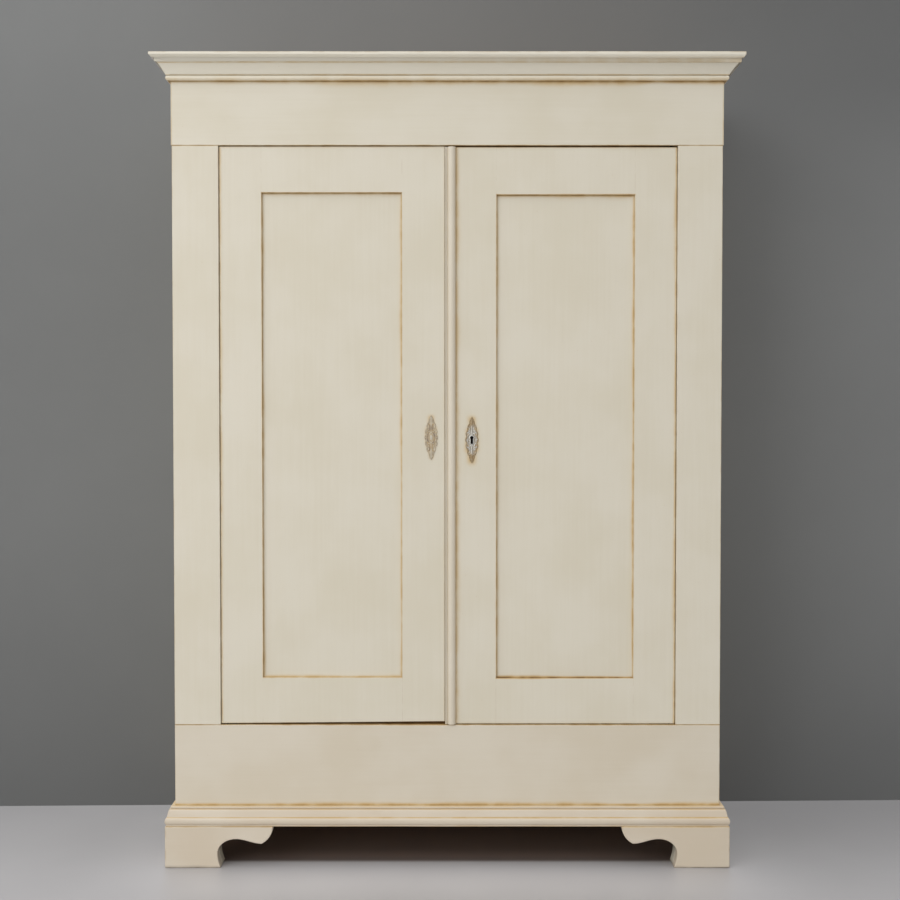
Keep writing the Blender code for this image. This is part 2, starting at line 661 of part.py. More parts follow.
def make_door(name, edges, ends, stile_width, top_rail, lift, carrier):
    """Door of two stiles, two tenoned rails and a panel held in a groove all round."""
    hinge_edge, meeting_edge = edges
    bottom, top = ends
    toward = math.copysign(1, meeting_edge - hinge_edge)
    hinge_inner = hinge_edge + toward * HINGE_STILE_WIDTH
    meeting_inner = meeting_edge - toward * stile_width
    panel_front = Y_DOOR_FRONT + PANEL_RECESS
    panel = (panel_front, panel_front + PANEL_THICKNESS)
    groove = (panel[0] - FIT, panel[1] + FIT)
    rail_edges = {"top": top - top_rail, "bottom": bottom + BOTTOM_RAIL_HEIGHT}
    tenons = {"top": (rail_edges["top"] + GROOVE_DEPTH + FIT, top - TENON_SHOULDER),
              "bottom": (bottom + TENON_SHOULDER, rail_edges["bottom"] - GROOVE_DEPTH - FIT)}

    stiles = {}
    for part, outer, inner, inward in (("hinge_stile", hinge_edge, hinge_inner, toward),
                                       ("meeting_stile", meeting_edge, meeting_inner, -toward)):
        deep = inner - inward * GROOVE_DEPTH
        outline = [(outer, Y_DOOR_FRONT), (inner, Y_DOOR_FRONT), (inner, groove[0]),
                   (deep, groove[0]), (deep, groove[1]), (inner, groove[1]),
                   (inner, Y_DOOR_BACK), (outer, Y_DOOR_BACK)]
        solid = lift_bottom(prism(outline, "Z", bottom, top), bottom, *edges, lift)
        stile = ease(add_piece(f"{name}_{part}", solid, CREAM_PAINT, carrier))
        mortises = []
        for low, high in tenons.values():
            mortises.append(block((inner + inward * FIT, inner - inward * (TENON_LENGTH + FIT)),
                                  groove, (low - FIT, high + FIT)))
        stiles[part] = cut(stile, *mortises)

    for part, far in (("top", top), ("bottom", bottom)):
        near = rail_edges[part]
        away = math.copysign(1, far - near)
        deep = near + away * GROOVE_DEPTH
        outline = [(Y_DOOR_FRONT, near), (groove[0], near), (groove[0], deep),
                   (groove[1], deep), (groove[1], near), (Y_DOOR_BACK, near),
                   (Y_DOOR_BACK, far), (Y_DOOR_FRONT, far)]
        span = (hinge_inner + toward * FIT, meeting_inner - toward * FIT)
        solid = prism(outline, "X", *span)
        if part == "bottom":
            lift_bottom(solid, bottom, *edges, lift)
        rail = ease(add_piece(f"{name}_{part}_rail", solid, CREAM_PAINT, carrier))
        tenoned = (hinge_inner - toward * TENON_LENGTH, meeting_inner + toward * TENON_LENGTH)
        unite(rail, block(tenoned, panel, tenons[part]))

    held = GROOVE_DEPTH - PANEL_PLAY
    board(f"{name}_panel", (hinge_inner - toward * held, meeting_inner + toward * held), panel,
          (rail_edges["bottom"] - held, rail_edges["top"] + held), CREAM_PAINT, carrier)

    pivot_x = hinge_edge + toward * PIVOT_INSET
    cut(stiles["hinge_stile"], pivot_plate(pivot_x, toward, top, 1, FIT),
        pivot_plate(pivot_x, toward, bottom, -1, FIT))
    make_pivot_pin(f"{name}_top_pin", pivot_x, toward, top, Z_HEAD, 1, carrier)
    make_pivot_pin(f"{name}_bottom_pin", pivot_x, toward, bottom, Z_SILL, -1, carrier)
    return stiles


def make_cover_strip(bottom, top, carrier):
    """Strip planted on the right door, standing past its edge to close the joint."""
    left = MEETING_LINE + STRIP_CLEARANCE
    quirk = left + STRIP_FILLET_WIDTH
    bead = quirk + STRIP_QUIRK_WIDTH
    seat = Y_DOOR_FRONT - FIT
    bead_half = STRIP_BEAD_WIDTH / 2
    outline = [(left, seat), (left, seat - STRIP_FILLET_PROUD),
               (quirk, seat - STRIP_FILLET_PROUD), (quirk, seat - STRIP_QUIRK_PROUD)]
    outline += arc((bead + bead_half, seat - STRIP_QUIRK_PROUD),
                   (bead_half, STRIP_BEAD_PROUD - STRIP_QUIRK_PROUD), -180, 0, CURVE_STEPS)
    outline.append((bead + STRIP_BEAD_WIDTH, seat))
    smooth(add_piece("cover_strip", prism(outline, "Z", bottom, top), CREAM_PAINT, carrier))


# Lock and escutcheons

def keyhole(x, z, play=0.0):
    """Outline of a keyhole: a round head above a narrower slot."""
    radius = KEYHOLE_RADIUS + play
    slot = KEYHOLE_SLOT / 2 + play
    head = z + KEYHOLE_LENGTH / 2 - KEYHOLE_RADIUS
    foot = z - KEYHOLE_LENGTH / 2 - play
    neck = math.degrees(math.asin(slot / radius))
    outline = arc((x, head), (radius, radius), -90 + neck, 270 - neck, CURVE_STEPS)
    return outline + [(x - slot, foot), (x + slot, foot)]


def escutcheon_half_width(share):
    """Half width of the escutcheon's plain outline at a share of its half length, -1 to 1."""
    return ESCUTCHEON_WIDTH / 2 * math.cos(math.pi / 2 * share) ** ESCUTCHEON_FULLNESS


def escutcheon_outline(x, z, length):
    """Pointed oval whose two edges are cut into lobes that meet in sharp nicks."""
    steps = ESCUTCHEON_LOBES * SHORT_CURVE_STEPS
    edge = []
    for step in range(1, steps):
        share = 2 * step / steps - 1
        bulge = abs(math.sin(math.pi * step / SHORT_CURVE_STEPS))
        half = escutcheon_half_width(share) * (1 - ESCUTCHEON_NICK * (1 - bulge))
        edge.append((half, z + share * length / 2))
    right = [(x + half, height) for half, height in edge]
    left = [(x - half, height) for half, height in reversed(edge)]
    return [(x, z - length / 2)] + right + [(x, z + length / 2)] + left


def make_escutcheon(name, x, z, length, holes, carrier):
    """Pierced plate on a door's face, filled between its outline and its holes."""
    loops = [escutcheon_outline(x, z, length)] + holes
    for share in (-PIERCING_FAR, -PIERCING_NEAR, PIERCING_NEAR, PIERCING_FAR):
        for side in (-1, 1):
            middle = (x + side * PIERCING_SPREAD * escutcheon_half_width(share),
                      z + share * length / 2)
            loops.append(arc(middle, (PIERCING_WIDTH / 2, PIERCING_LENGTH / 2),
                             0, 360, CURVE_STEPS)[:-1])
    face = Y_DOOR_FRONT - FIT - ESCUTCHEON_THICKNESS
    solid = bmesh.new()
    for loop in loops:
        corners = [solid.verts.new((point[0], face, point[1])) for point in loop]
        for first, second in zip(corners, corners[1:] + corners[:1]):
            solid.edges.new((first, second))
    bmesh.ops.triangle_fill(solid, use_beauty=True, edges=solid.edges[:], normal=(0, -1, 0))
    drawn = bmesh.ops.extrude_face_region(solid, geom=solid.faces[:])
    moved = [part for part in drawn["geom"] if isinstance(part, bmesh.types.BMVert)]
    bmesh.ops.translate(solid, verts=moved, vec=(0, ESCUTCHEON_THICKNESS, 0))
    add_piece(name, solid, TARNISHED_BRASS, carrier)


def make_lock(right_axis, left_axis, meeting_stile):
    """Rim lock behind the right door, its bolt, and the keeper behind the left door."""
    seat = Y_DOOR_BACK + FIT
    cut(meeting_stile, prism(keyhole(KEY_X, KEY_HEIGHT, FIT), "Y",
                             Y_DOOR_FRONT - FIT, Y_DOOR_BACK + FIT))
    left = RIGHT_MEETING_EDGE + LOCK_EDGE_INSET
    middle = KEY_HEIGHT + LOCK_RISE
    half = LOCK_HEIGHT / 2
    plate = block((left, left + LOCK_WIDTH), (seat, seat + LOCK_PLATE_THICKNESS),
                  (middle - half, middle + half))
    housing = block((left + LOCK_EDGE_INSET, left + LOCK_WIDTH - LOCK_RIM),
                    (seat + LOCK_PLATE_THICKNESS / 2, seat + LOCK_THICKNESS),
                    (middle - half + LOCK_RIM, middle + half - LOCK_RIM))
    bolt_z = KEY_HEIGHT + LOCK_BOLT_RISE
    bolt = {"y": (seat + LOCK_BOLT_FLOOR, seat + LOCK_BOLT_FLOOR + LOCK_BOLT_THICKNESS),
            "z": (bolt_z - LOCK_BOLT_HEIGHT / 2, bolt_z + LOCK_BOLT_HEIGHT / 2)}
    channel = block((left - LOCK_RIM, left + LOCK_BOLT_LENGTH + FIT),
                    (bolt["y"][0] - FIT, bolt["y"][1] + FIT),
                    (bolt["z"][0] - FIT, bolt["z"][1] + FIT))
    key_way = prism(keyhole(KEY_X, KEY_HEIGHT, FIT), "Y", seat - FIT, seat + KEY_DEPTH)
    case = unite(add_piece("lock_case", plate, DARK_IRON, right_axis), housing)
    cut(case, channel, key_way)
    board("lock_bolt", (left, left + LOCK_BOLT_LENGTH), bolt["y"], bolt["z"], DARK_IRON,
          right_axis)

    right = MEETING_LINE - KEEPER_INSET
    x = (right - KEEPER_LENGTH, right)
    mouth_y = (bolt["y"][0] - KEEPER_PLAY, bolt["y"][1] + KEEPER_PLAY)
    mouth_z = (bolt["z"][0] - KEEPER_PLAY, bolt["z"][1] + KEEPER_PLAY)
    flange = block(x, (seat, seat + KEEPER_WALL),
                   (mouth_z[0] - KEEPER_FLANGE, mouth_z[1] + KEEPER_FLANGE))
    strap = block(x, (seat + KEEPER_WALL / 2, mouth_y[1] + KEEPER_WALL),
                  (mouth_z[0] - KEEPER_WALL, mouth_z[1] + KEEPER_WALL))
    keeper = unite(add_piece("lock_keeper", flange, DARK_IRON, left_axis), strap)
    cut(keeper, block((x[0] - KEEPER_WALL, x[1] + KEEPER_WALL), mouth_y, mouth_z))


# Door stops and slide bolts

def slide_hole(mouth, into):
    """Blind hole for a slide bolt, in a stop that lies on the `into` side of its mouth."""
    half = SLIDE_WIDTH / 2 + SLIDE_HOLE_PLAY
    return block((SLIDE_X - half, SLIDE_X + half),
                 (Y_SLIDE - SLIDE_HOLE_PLAY, Y_SLIDE + SLIDE_THICKNESS + SLIDE_HOLE_PLAY),
                 (mouth - into * SLIDE_REST_GAP, mouth + into * SLIDE_HOLE_DEPTH))


def make_door_stops():
    """Strips behind the doors' top and bottom edges, with the holes for the slide bolts."""
    x = (X_JAMB_LEFT + STOP_END_INSET, X_JAMB_RIGHT - STOP_END_INSET)
    y = (Y_FRAME_BACK + FIT, Y_FRAME_BACK + FIT + STOP_DEPTH)
    upper = board("door_stop_top", x, y, (Z_HEAD - STOP_LAP, Z_HEAD + STOP_FIXING), OLD_PINE)
    lower = board("door_stop_bottom", x, y, (Z_SILL + FIT, Z_SILL + FIT + STOP_LAP), OLD_PINE)
    cut(upper, slide_hole(Z_HEAD - STOP_LAP, 1))
    cut(lower, slide_hole(Z_SILL + FIT + STOP_LAP, -1))


def make_slide_bolt(name, mouth, out, carrier):
    """Bolt with a turned knob that slides toward the stop, and its plate with two staples."""
    end = mouth - out * SLIDE_REST_GAP
    half = SLIDE_WIDTH / 2
    back = Y_SLIDE + SLIDE_THICKNESS
    plate_end = end - out * SLIDE_PLATE_INSET
    middle = plate_end - out * SLIDE_PLATE_LENGTH / 2
    bar = block((SLIDE_X - half, SLIDE_X + half), (Y_SLIDE, back), (end - out * SLIDE_LENGTH, end))
    neck = prism(circle((SLIDE_X, middle), KNOB_NECK_RADIUS), "Y",
                 back - SLIDE_THICKNESS / 2, back + KNOB_HEIGHT - KNOB_HEAD_HEIGHT / 2)
    head = prism(circle((SLIDE_X, middle), KNOB_HEAD_RADIUS), "Y",
                 back + KNOB_HEIGHT - KNOB_HEAD_HEIGHT, back + KNOB_HEIGHT)
    smooth(unite(add_piece(name, bar, DARK_IRON, carrier), neck, head))

    seat = Y_DOOR_BACK + FIT
    plate_half = SLIDE_PLATE_WIDTH / 2
    plate = block((SLIDE_X - plate_half, SLIDE_X + plate_half),
                  (seat, seat + SLIDE_PLATE_THICKNESS),
                  (plate_end, plate_end - out * SLIDE_PLATE_LENGTH))
    staples = []
    wall = half + FIT + STAPLE_WALL
    for side in (-1, 1):
        outer = middle + side * (SLIDE_PLATE_LENGTH / 2 - STAPLE_END)
        staples.append(block((SLIDE_X - wall, SLIDE_X + wall),
                             (seat + SLIDE_PLATE_THICKNESS / 2, back + FIT + STAPLE_WALL),
                             (outer, outer - side * STAPLE_LENGTH)))
    way = block((SLIDE_X - half - FIT, SLIDE_X + half + FIT), (Y_SLIDE - FIT, back + FIT),
                (end, end - out * SLIDE_LENGTH))
    cut(unite(add_piece(f"{name}_plate", plate, DARK_IRON, carrier), *staples), way)


# Inside fittings

def make_inside():
    """Hat shelf on two cleats, and a hanging pole dropped into a notch in each cleat."""
    front = Y_FRAME_BACK + SHELF_SETBACK
    back = Y_BACK_BOARDS - FIT
    reach = X_INSIDE - FIT
    board("hat_shelf", (-reach, reach), (front, back),
          (SHELF_HEIGHT, SHELF_HEIGHT + SHELF_THICKNESS), OLD_PINE)
    cleat_top = SHELF_HEIGHT - FIT
    pole_z = SHELF_HEIGHT - POLE_DROP
    pole_y = (Y_FRAME_BACK + Y_BACK_BOARDS) / 2
    foot = pole_z - CLEAT_BELOW_POLE
    notch = POLE_RADIUS + POLE_PLAY
    outline = [(front, foot), (back, foot), (back, cleat_top), (pole_y + notch, cleat_top)]
    outline += arc((pole_y, pole_z), (notch, notch), 0, -180, CURVE_STEPS)
    outline += [(pole_y - notch, cleat_top), (front, cleat_top)]
    for name, side in (("left", -1), ("right", 1)):
        solid = prism(outline, "X", side * reach, side * (reach - CLEAT_WIDTH))
        ease(add_piece(f"shelf_cleat_{name}", solid, OLD_PINE))
    pole = prism(circle((pole_y, pole_z), POLE_RADIUS, POLE_SIDES), "X",
                 -reach + FIT, reach - FIT)
    smooth(add_piece("hanging_pole", pole, OLD_PINE))


for leftover in list(bpy.data.objects):
    bpy.data.objects.remove(leftover)

CREAM_PAINT = material("cream_paint", srgb(222, 214, 196), 0.55)
OLD_PINE = material("old_pine", srgb(178, 140, 94), 0.65)
DARK_IRON = material("dark_iron", srgb(74, 70, 66), 0.5, 0.9)
TARNISHED_BRASS = material("tarnished_brass", srgb(168, 158, 136), 0.45, 0.85)

left_edges = (X_JAMB_LEFT + HINGE_GAP, MEETING_LINE)
left_ends = (Z_SILL + LEFT_BOTTOM_GAP, Z_HEAD - LEFT_TOP_GAP)
right_edges = (X_JAMB_RIGHT - HINGE_GAP, RIGHT_MEETING_EDGE)
right_ends = (Z_SILL + RIGHT_BOTTOM_GAP, Z_HEAD - RIGHT_TOP_GAP)
PIVOT_Y = Y_DOOR_FRONT + PIVOT_SETBACK
PIVOTS = (left_edges[0] + PIVOT_INSET, right_edges[0] - PIVOT_INSET)

make_sides()
make_front_frame()
make_top_and_bottom()
make_back()
make_mouldings()
make_feet()

left_axis = joint_axis("left_door_axis", PIVOTS[0], PIVOT_Y, Z_SILL)
right_axis = joint_axis("right_door_axis", PIVOTS[1], PIVOT_Y, Z_SILL)
make_door("left_door", left_edges, left_ends, LEFT_MEETING_STILE_WIDTH, LEFT_TOP_RAIL_HEIGHT,
          LEFT_BOTTOM_LIFT, left_axis)
right_stiles = make_door("right_door", right_edges, right_ends, RIGHT_MEETING_STILE_WIDTH,
                         RIGHT_TOP_RAIL_HEIGHT, 0, right_axis)
make_cover_strip(*right_ends, right_axis)

make_escutcheon("escutcheon_left", MEETING_LINE - LEFT_ESCUTCHEON_INSET, LEFT_ESCUTCHEON_HEIGHT,
                LEFT_ESCUTCHEON_LENGTH, [], left_axis)
make_escutcheon("escutcheon_right", KEY_X, KEY_HEIGHT, RIGHT_ESCUTCHEON_LENGTH,
                [keyhole(KEY_X, KEY_HEIGHT)], right_axis)
make_lock(right_axis, left_axis, right_stiles["meeting_stile"])

make_door_stops()
make_slide_bolt("left_door_top_bolt", Z_HEAD - STOP_LAP, 1, left_axis)
make_slide_bolt("left_door_bottom_bolt", Z_SILL + FIT + STOP_LAP, -1, left_axis)
make_inside()
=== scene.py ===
# %% [markdown]
# # A painted pine wardrobe
# This lesson dresses a wardrobe whose solids are already made. The solids give every place and
# size, so each new piece is measured from them, and nothing has to be fitted by eye. We set up
# the picture first, then the paint and the wood, then the pieces with finer shapes.

import math

import bmesh
import bpy
import numpy as np
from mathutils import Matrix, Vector, noise


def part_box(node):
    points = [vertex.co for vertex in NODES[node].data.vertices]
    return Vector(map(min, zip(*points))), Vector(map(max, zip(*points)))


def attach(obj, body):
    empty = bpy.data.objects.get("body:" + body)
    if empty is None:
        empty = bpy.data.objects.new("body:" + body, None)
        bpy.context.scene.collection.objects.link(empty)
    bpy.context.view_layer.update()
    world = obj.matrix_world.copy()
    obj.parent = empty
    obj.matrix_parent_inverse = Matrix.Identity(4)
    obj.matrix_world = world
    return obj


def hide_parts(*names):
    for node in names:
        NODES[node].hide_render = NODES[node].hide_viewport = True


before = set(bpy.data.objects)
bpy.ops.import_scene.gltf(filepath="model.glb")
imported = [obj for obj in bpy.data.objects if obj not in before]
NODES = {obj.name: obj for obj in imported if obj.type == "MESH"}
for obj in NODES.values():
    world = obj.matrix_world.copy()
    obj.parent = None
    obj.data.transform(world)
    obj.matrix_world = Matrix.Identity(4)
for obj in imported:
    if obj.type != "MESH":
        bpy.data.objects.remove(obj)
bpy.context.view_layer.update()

# %% [markdown]
# ## The camera
# The picture was taken from straight in front, a little above the middle of the doors, and from
# far enough away that the sides don't show. We repeat that: the focal length is worked out from
# the number of pixels that one metre covers at the distance of the doors.

# %% Place the camera
IMAGE_SIDE = 900
FOCAL_PIXELS = 1391
SENSOR = 36.0
CAMERA_PLACE = Vector((0.0066, -3.637, 1.120))
CAMERA_DOWN = 0.0282

camera_data = bpy.data.cameras.new("camera")
camera_data.sensor_width = SENSOR
camera_data.lens = FOCAL_PIXELS * SENSOR / IMAGE_SIDE
camera = bpy.data.objects.new("camera", camera_data)
camera.location = CAMERA_PLACE
camera.rotation_euler = (math.pi / 2 - CAMERA_DOWN, 0, 0)
bpy.context.scene.collection.objects.link(camera)
bpy.context.scene.camera = camera
print("lens:", round(camera_data.lens, 2), "mm")

# %% [markdown]
# ## Small helpers for node trees
# A shader is a graph of nodes. Writing such a graph by hand takes many lines, so a few helpers do
# what repeats. The first makes any node and fills or links its inputs, and the others are short
# names for one or two nodes each.

# %% Helpers for nodes
def put(tree, kind, inputs=(), **settings):
    """Node of a kind with its settings, and its inputs by name or number, linked or filled."""
    node = tree.nodes.new(kind)
    for name, value in settings.items():
        setattr(node, name, value)
    for name, value in dict(inputs).items():
        if isinstance(value, bpy.types.NodeSocket):
            tree.links.new(value, node.inputs[name])
        else:
            node.inputs[name].default_value = value
    return node


def calc(tree, operation, *values, clamp=False):
    """Result of a math node."""
    node = put(tree, "ShaderNodeMath", enumerate(values), operation=operation, use_clamp=clamp)
    return node.outputs[0]


def calc_vector(tree, operation, *values):
    """Result of a vector math node."""
    node = put(tree, "ShaderNodeVectorMath", enumerate(values), operation=operation)
    return node.outputs["Value" if operation in ("LENGTH", "DOT_PRODUCT") else "Vector"]


def times(tree, product, *others):
    """Product of several values."""
    for value in others:
        product = calc(tree, "MULTIPLY", product, value)
    return product


def split(tree, vector):
    """The three parts of a vector."""
    return put(tree, "ShaderNodeSeparateXYZ", {0: vector}).outputs


print("node helpers ready")

# %% [markdown]
# Colours are written as a screen shows them, from 0 to 255, and a shader wants them linear. A
# smooth step turns a distance into a share of a colour, and a cloud of noise breaks up its edge,
# because no wear or dirt ends in an even line.

# %% Helpers for colours, steps and noise
NOISE_RANGE = (0.3, 0.7)


def srgb(red, green, blue):
    """Linear colour of a screen colour whose channels run from 0 to 255."""
    steps = np.array((red, green, blue)) / 255
    linear = np.where(steps <= 0.04045, steps / 12.92, ((steps + 0.055) / 1.055) ** 2.4)
    return (*linear.tolist(), 1.0)


def blend_colours(tree, share, first, second, blend="MIX"):
    """Two colours mixed by a share. The node keeps its colour inputs at numbers 6 and 7."""
    node = put(tree, "ShaderNodeMix", {0: share, 6: first, 7: second},
               data_type="RGBA", blend_type=blend)
    return node.outputs[2]


def fade(tree, value, start, end, low=0.0, high=1.0):
    """Value carried from one range to another along a smooth step."""
    node = put(tree, "ShaderNodeMapRange", {0: value, 1: start, 2: end, 3: low, 4: high},
               interpolation_type="SMOOTHSTEP")
    return node.outputs[0]


def nearness(tree, gap, reach):
    """One where a gap is nought, falling to nought where it is as long as the reach."""
    return calc(tree, "SUBTRACT", 1.0, calc(tree, "DIVIDE", gap, reach), clamp=True)


def cloud(tree, position, scale, detail=3.0, rough=0.5):
    """Noise at a position. It runs from 0 to 1, and nearly all of it is in the noise range."""
    node = put(tree, "ShaderNodeTexNoise",
               {"Vector": position, "Scale": scale, "Detail": detail, "Roughness": rough})
    return node.outputs["Fac"]


print("colour helpers ready")

# %% [markdown]
# Some effects are needed in many materials: glaze in a joint, worn edges, brushed paint, old
# wood. Each of them is a node group, built once, with named inputs for what differs from piece to
# piece. The shader itself stays outside the groups, in the material.

# %% Helpers for groups and materials
KINDS = {float: "NodeSocketFloat", tuple: "NodeSocketColor", Vector: "NodeSocketVector"}


def open_group(name, inputs, outputs):
    """Shader node group with named sockets, and its input and output nodes."""
    group = bpy.data.node_groups.new(name, "ShaderNodeTree")
    for socket, value in inputs.items():
        made = group.interface.new_socket(socket, in_out="INPUT", socket_type=KINDS[type(value)])
        made.default_value = value
    for socket, kind in outputs.items():
        group.interface.new_socket(socket, in_out="OUTPUT", socket_type=KINDS[kind])
    return group, put(group, "NodeGroupInput").outputs, put(group, "NodeGroupOutput").inputs


def use_group(tree, name, inputs):
    """Outputs of a node group placed in a tree."""
    return put(tree, "ShaderNodeGroup", inputs, node_tree=bpy.data.node_groups[name]).outputs


def new_material(name):
    """Empty material, its node tree and its Principled shader."""
    made = bpy.data.materials.new(name)
    made.use_nodes = True
    return made, made.node_tree, made.node_tree.nodes["Principled BSDF"]


print("group helpers ready")

# %% [markdown]
# ## The room
# A floor and a wall make the room, each a single face that is there only for the picture. Their
# tones change slowly from place to place, a little at random and more as painted light and shade.
# Such a tone is a product of smooth steps, and each step is written as the pair of places, in
# metres, that it runs between.

# %% Helpers for the room
ROOM_HALF = 9.0
UNEVEN = (0.97, 1.03)


def flat_sheet(name, corners, material):
    """One face for the room."""
    mesh = bpy.data.meshes.new(name)
    mesh.from_pydata(corners, [], [(0, 1, 2, 3)])
    mesh.materials.append(material)
    made = bpy.data.objects.new(name, mesh)
    bpy.context.scene.collection.objects.link(made)
    return made


def toned(tree, colour, tone):
    """Colour made lighter or darker by a tone."""
    scaled = calc_vector(tree, "SCALE", colour[:3])
    tree.links.new(tone, scaled.node.inputs["Scale"])
    return scaled


print("room helpers ready")

# %% [markdown]
# ### The floor
# The floor is pale. Painted shade makes it darker toward the wall, more so on the right, and
# painted light makes it lighter before the wardrobe. A painted shadow makes it darkest under
# the wardrobe, and there its tint changes from the rim at the front feet to the deep middle.

# %% Lay the floor
FLOOR_COLOUR = srgb(163, 161, 161)
FLOOR_ROUGHNESS = 0.42
FLOOR_CLOUDS = 2.2
TOWARD_WALL = (-0.7, 0.4)
LEFT_TO_RIGHT = (-0.7, 0.7)
WALL_SHADE_SIDE_TONES = (0.61, 0.45)
FRONT_PAINTED_LIGHT = 0.88
FRONT_START = (-0.62, -0.3)
FRONT_END = (0.3, 0.1)
FRONT_SIDES = (0.95, 0.3)
UNDER_FRONT = (-0.22, -0.194)
UNDER_BACK = (0.3, 0.28)
UNDER_SIDES = (0.68, 0.62)
UNDER_SHADOW_RIM = (0.32, 0.26, 0.23, 1.0)
UNDER_SHADOW_NEAR = (0.38, 0.29, 0.24, 1.0)
UNDER_SHADOW_DEEP = (0.55, 0.42, 0.35, 1.0)
RIM_TO_NEAR = (-0.185, -0.16)
NEAR_TO_DEEP = (-0.13, 0.0)
WHITE = (1.0, 1.0, 1.0, 1.0)

floor_material, tree, shader = new_material("floor")
place = put(tree, "ShaderNodeTexCoord").outputs["Object"]
across, depth, _ = split(tree, place)
beside = calc(tree, "ABSOLUTE", across)
uneven = fade(tree, cloud(tree, place, FLOOR_CLOUDS, 4.0), *NOISE_RANGE, *UNEVEN)
# Painted shade toward the wall, and painted light before the wardrobe.
floor_shade_toward_wall = fade(tree, depth, *TOWARD_WALL, 1.0, fade(tree, across, *LEFT_TO_RIGHT, *WALL_SHADE_SIDE_TONES))
floor_light_in_front = times(tree, fade(tree, depth, *FRONT_START, 0.0, FRONT_PAINTED_LIGHT),
                fade(tree, beside, *FRONT_SIDES), fade(tree, depth, *FRONT_END))
tone = times(tree, uneven, floor_shade_toward_wall, calc(tree, "ADD", 1.0, floor_light_in_front))
# Painted shadow under the wardrobe, whose tint runs from the rim to the deep middle.
shadow_under_wardrobe = times(tree, fade(tree, beside, *UNDER_SIDES), fade(tree, depth, *UNDER_FRONT),
              fade(tree, depth, *UNDER_BACK))
tint = blend_colours(tree, fade(tree, depth, *RIM_TO_NEAR), UNDER_SHADOW_RIM, UNDER_SHADOW_NEAR)
tint = blend_colours(tree, fade(tree, depth, *NEAR_TO_DEEP), tint, UNDER_SHADOW_DEEP)
tint = blend_colours(tree, shadow_under_wardrobe, WHITE, tint)
colour = blend_colours(tree, 1.0, toned(tree, FLOOR_COLOUR, tone), tint, "MULTIPLY")
tree.links.new(colour, shader.inputs["Base Color"])
shader.inputs["Roughness"].default_value = FLOOR_ROUGHNESS
flat_sheet("floor", [(x * ROOM_HALF, y * ROOM_HALF, 0)
                     for x, y in ((-1, -1), (1, -1), (1, 1), (-1, 1))], floor_material)
print("floor:", 2 * ROOM_HALF, "m square")

# %% [markdown]
# ### The wall
# The wall is there for a camera in front of it. From behind, and for the light, it is clear, so
# that it never hides or darkens the wardrobe in another view. Only its foot, just behind the
# wardrobe, stops light, because the space under the wardrobe is dark in a real room.

# %% Raise the wall
WALL_COLOUR = srgb(122, 123, 122)
WALL_ROUGHNESS = 0.8
WALL_SHINE = 0.1
WALL_CLOUDS = 1.6
WALL_PLACE = 0.306
WALL_TURN = 0.0237
WALL_HEIGHT = 7.0
FOOT_RISE = (-0.2, 1.0)
WALL_FOOT_SHADE = 0.76
POOL_RISE = (1.4, 2.5)
POOL_SIDES = (-1.3, 1.3)
POOL_TONES = (0.25, -0.2)
RIGHT_SIDES = (0.3, 0.9)
RIGHT_FALL = (2.2, 1.7)
RIGHT_PAINTED_LIGHT = 1.14
SKIRTING_HEIGHT = 0.25
SKIRTING_HALF = 0.69
SKIRTING_NEAR = 0.15

wall_material, tree, shader = new_material("wall")
place = put(tree, "ShaderNodeTexCoord").outputs["Object"]
across, _, height = split(tree, place)
# Painted light and shade on the wall: its foot is painted darker, a pool of light is painted high
# on the left with shade high on the right, and the right side below about two metres is painted
# lighter.
wall_light_pool = times(tree, fade(tree, height, *POOL_RISE), fade(tree, across, *POOL_SIDES, *POOL_TONES))
tone = calc(tree, "ADD", fade(tree, height, *FOOT_RISE, WALL_FOOT_SHADE, 1.0), wall_light_pool)
right = times(tree, fade(tree, across, *RIGHT_SIDES), fade(tree, height, *RIGHT_FALL))
tone = times(tree, tone, fade(tree, right, 0.0, 1.0, 1.0, RIGHT_PAINTED_LIGHT),
             fade(tree, cloud(tree, place, WALL_CLOUDS, 4.0), *NOISE_RANGE, *UNEVEN))
tree.links.new(toned(tree, WALL_COLOUR, tone), shader.inputs["Base Color"])
shader.inputs["Roughness"].default_value = WALL_ROUGHNESS
shader.inputs["Specular IOR Level"].default_value = WALL_SHINE
clear = put(tree, "ShaderNodeBsdfTransparent")
front = calc(tree, "SUBTRACT", 1.0, put(tree, "ShaderNodeNewGeometry").outputs["Backfacing"])
ray = put(tree, "ShaderNodeLightPath").outputs
seen = times(tree, front, ray["Is Camera Ray"])
skirting = times(tree, calc(tree, "LESS_THAN", height, SKIRTING_HEIGHT),
                 calc(tree, "LESS_THAN", calc(tree, "ABSOLUTE", across), SKIRTING_HALF))
stopped = times(tree, front, skirting,
                calc(tree, "GREATER_THAN", ray["Ray Length"], SKIRTING_NEAR))
shown = put(tree, "ShaderNodeMixShader", {0: calc(tree, "MAXIMUM", seen, stopped),
                                          1: clear.outputs[0], 2: shader.outputs[0]})
tree.links.new(shown.outputs[0], tree.nodes["Material Output"].inputs["Surface"])
run = Vector((math.cos(WALL_TURN), math.sin(WALL_TURN), 0)) * ROOM_HALF
middle = Vector((0, WALL_PLACE, 0))
rise = Vector((0, 0, WALL_HEIGHT))
flat_sheet("wall", [middle - run, middle + run, middle + run + rise, middle - run + rise],
           wall_material)
print("wall:", WALL_HEIGHT, "m high")

# %% [markdown]
# ### The light
# One large soft lamp stands high on the left, as a window would, and a weak one lies low in
# front, as light comes back up from a pale floor. The world gives a little from every side, more
# from above and from the left. Where the camera looks past the room, it sees a plain grey.

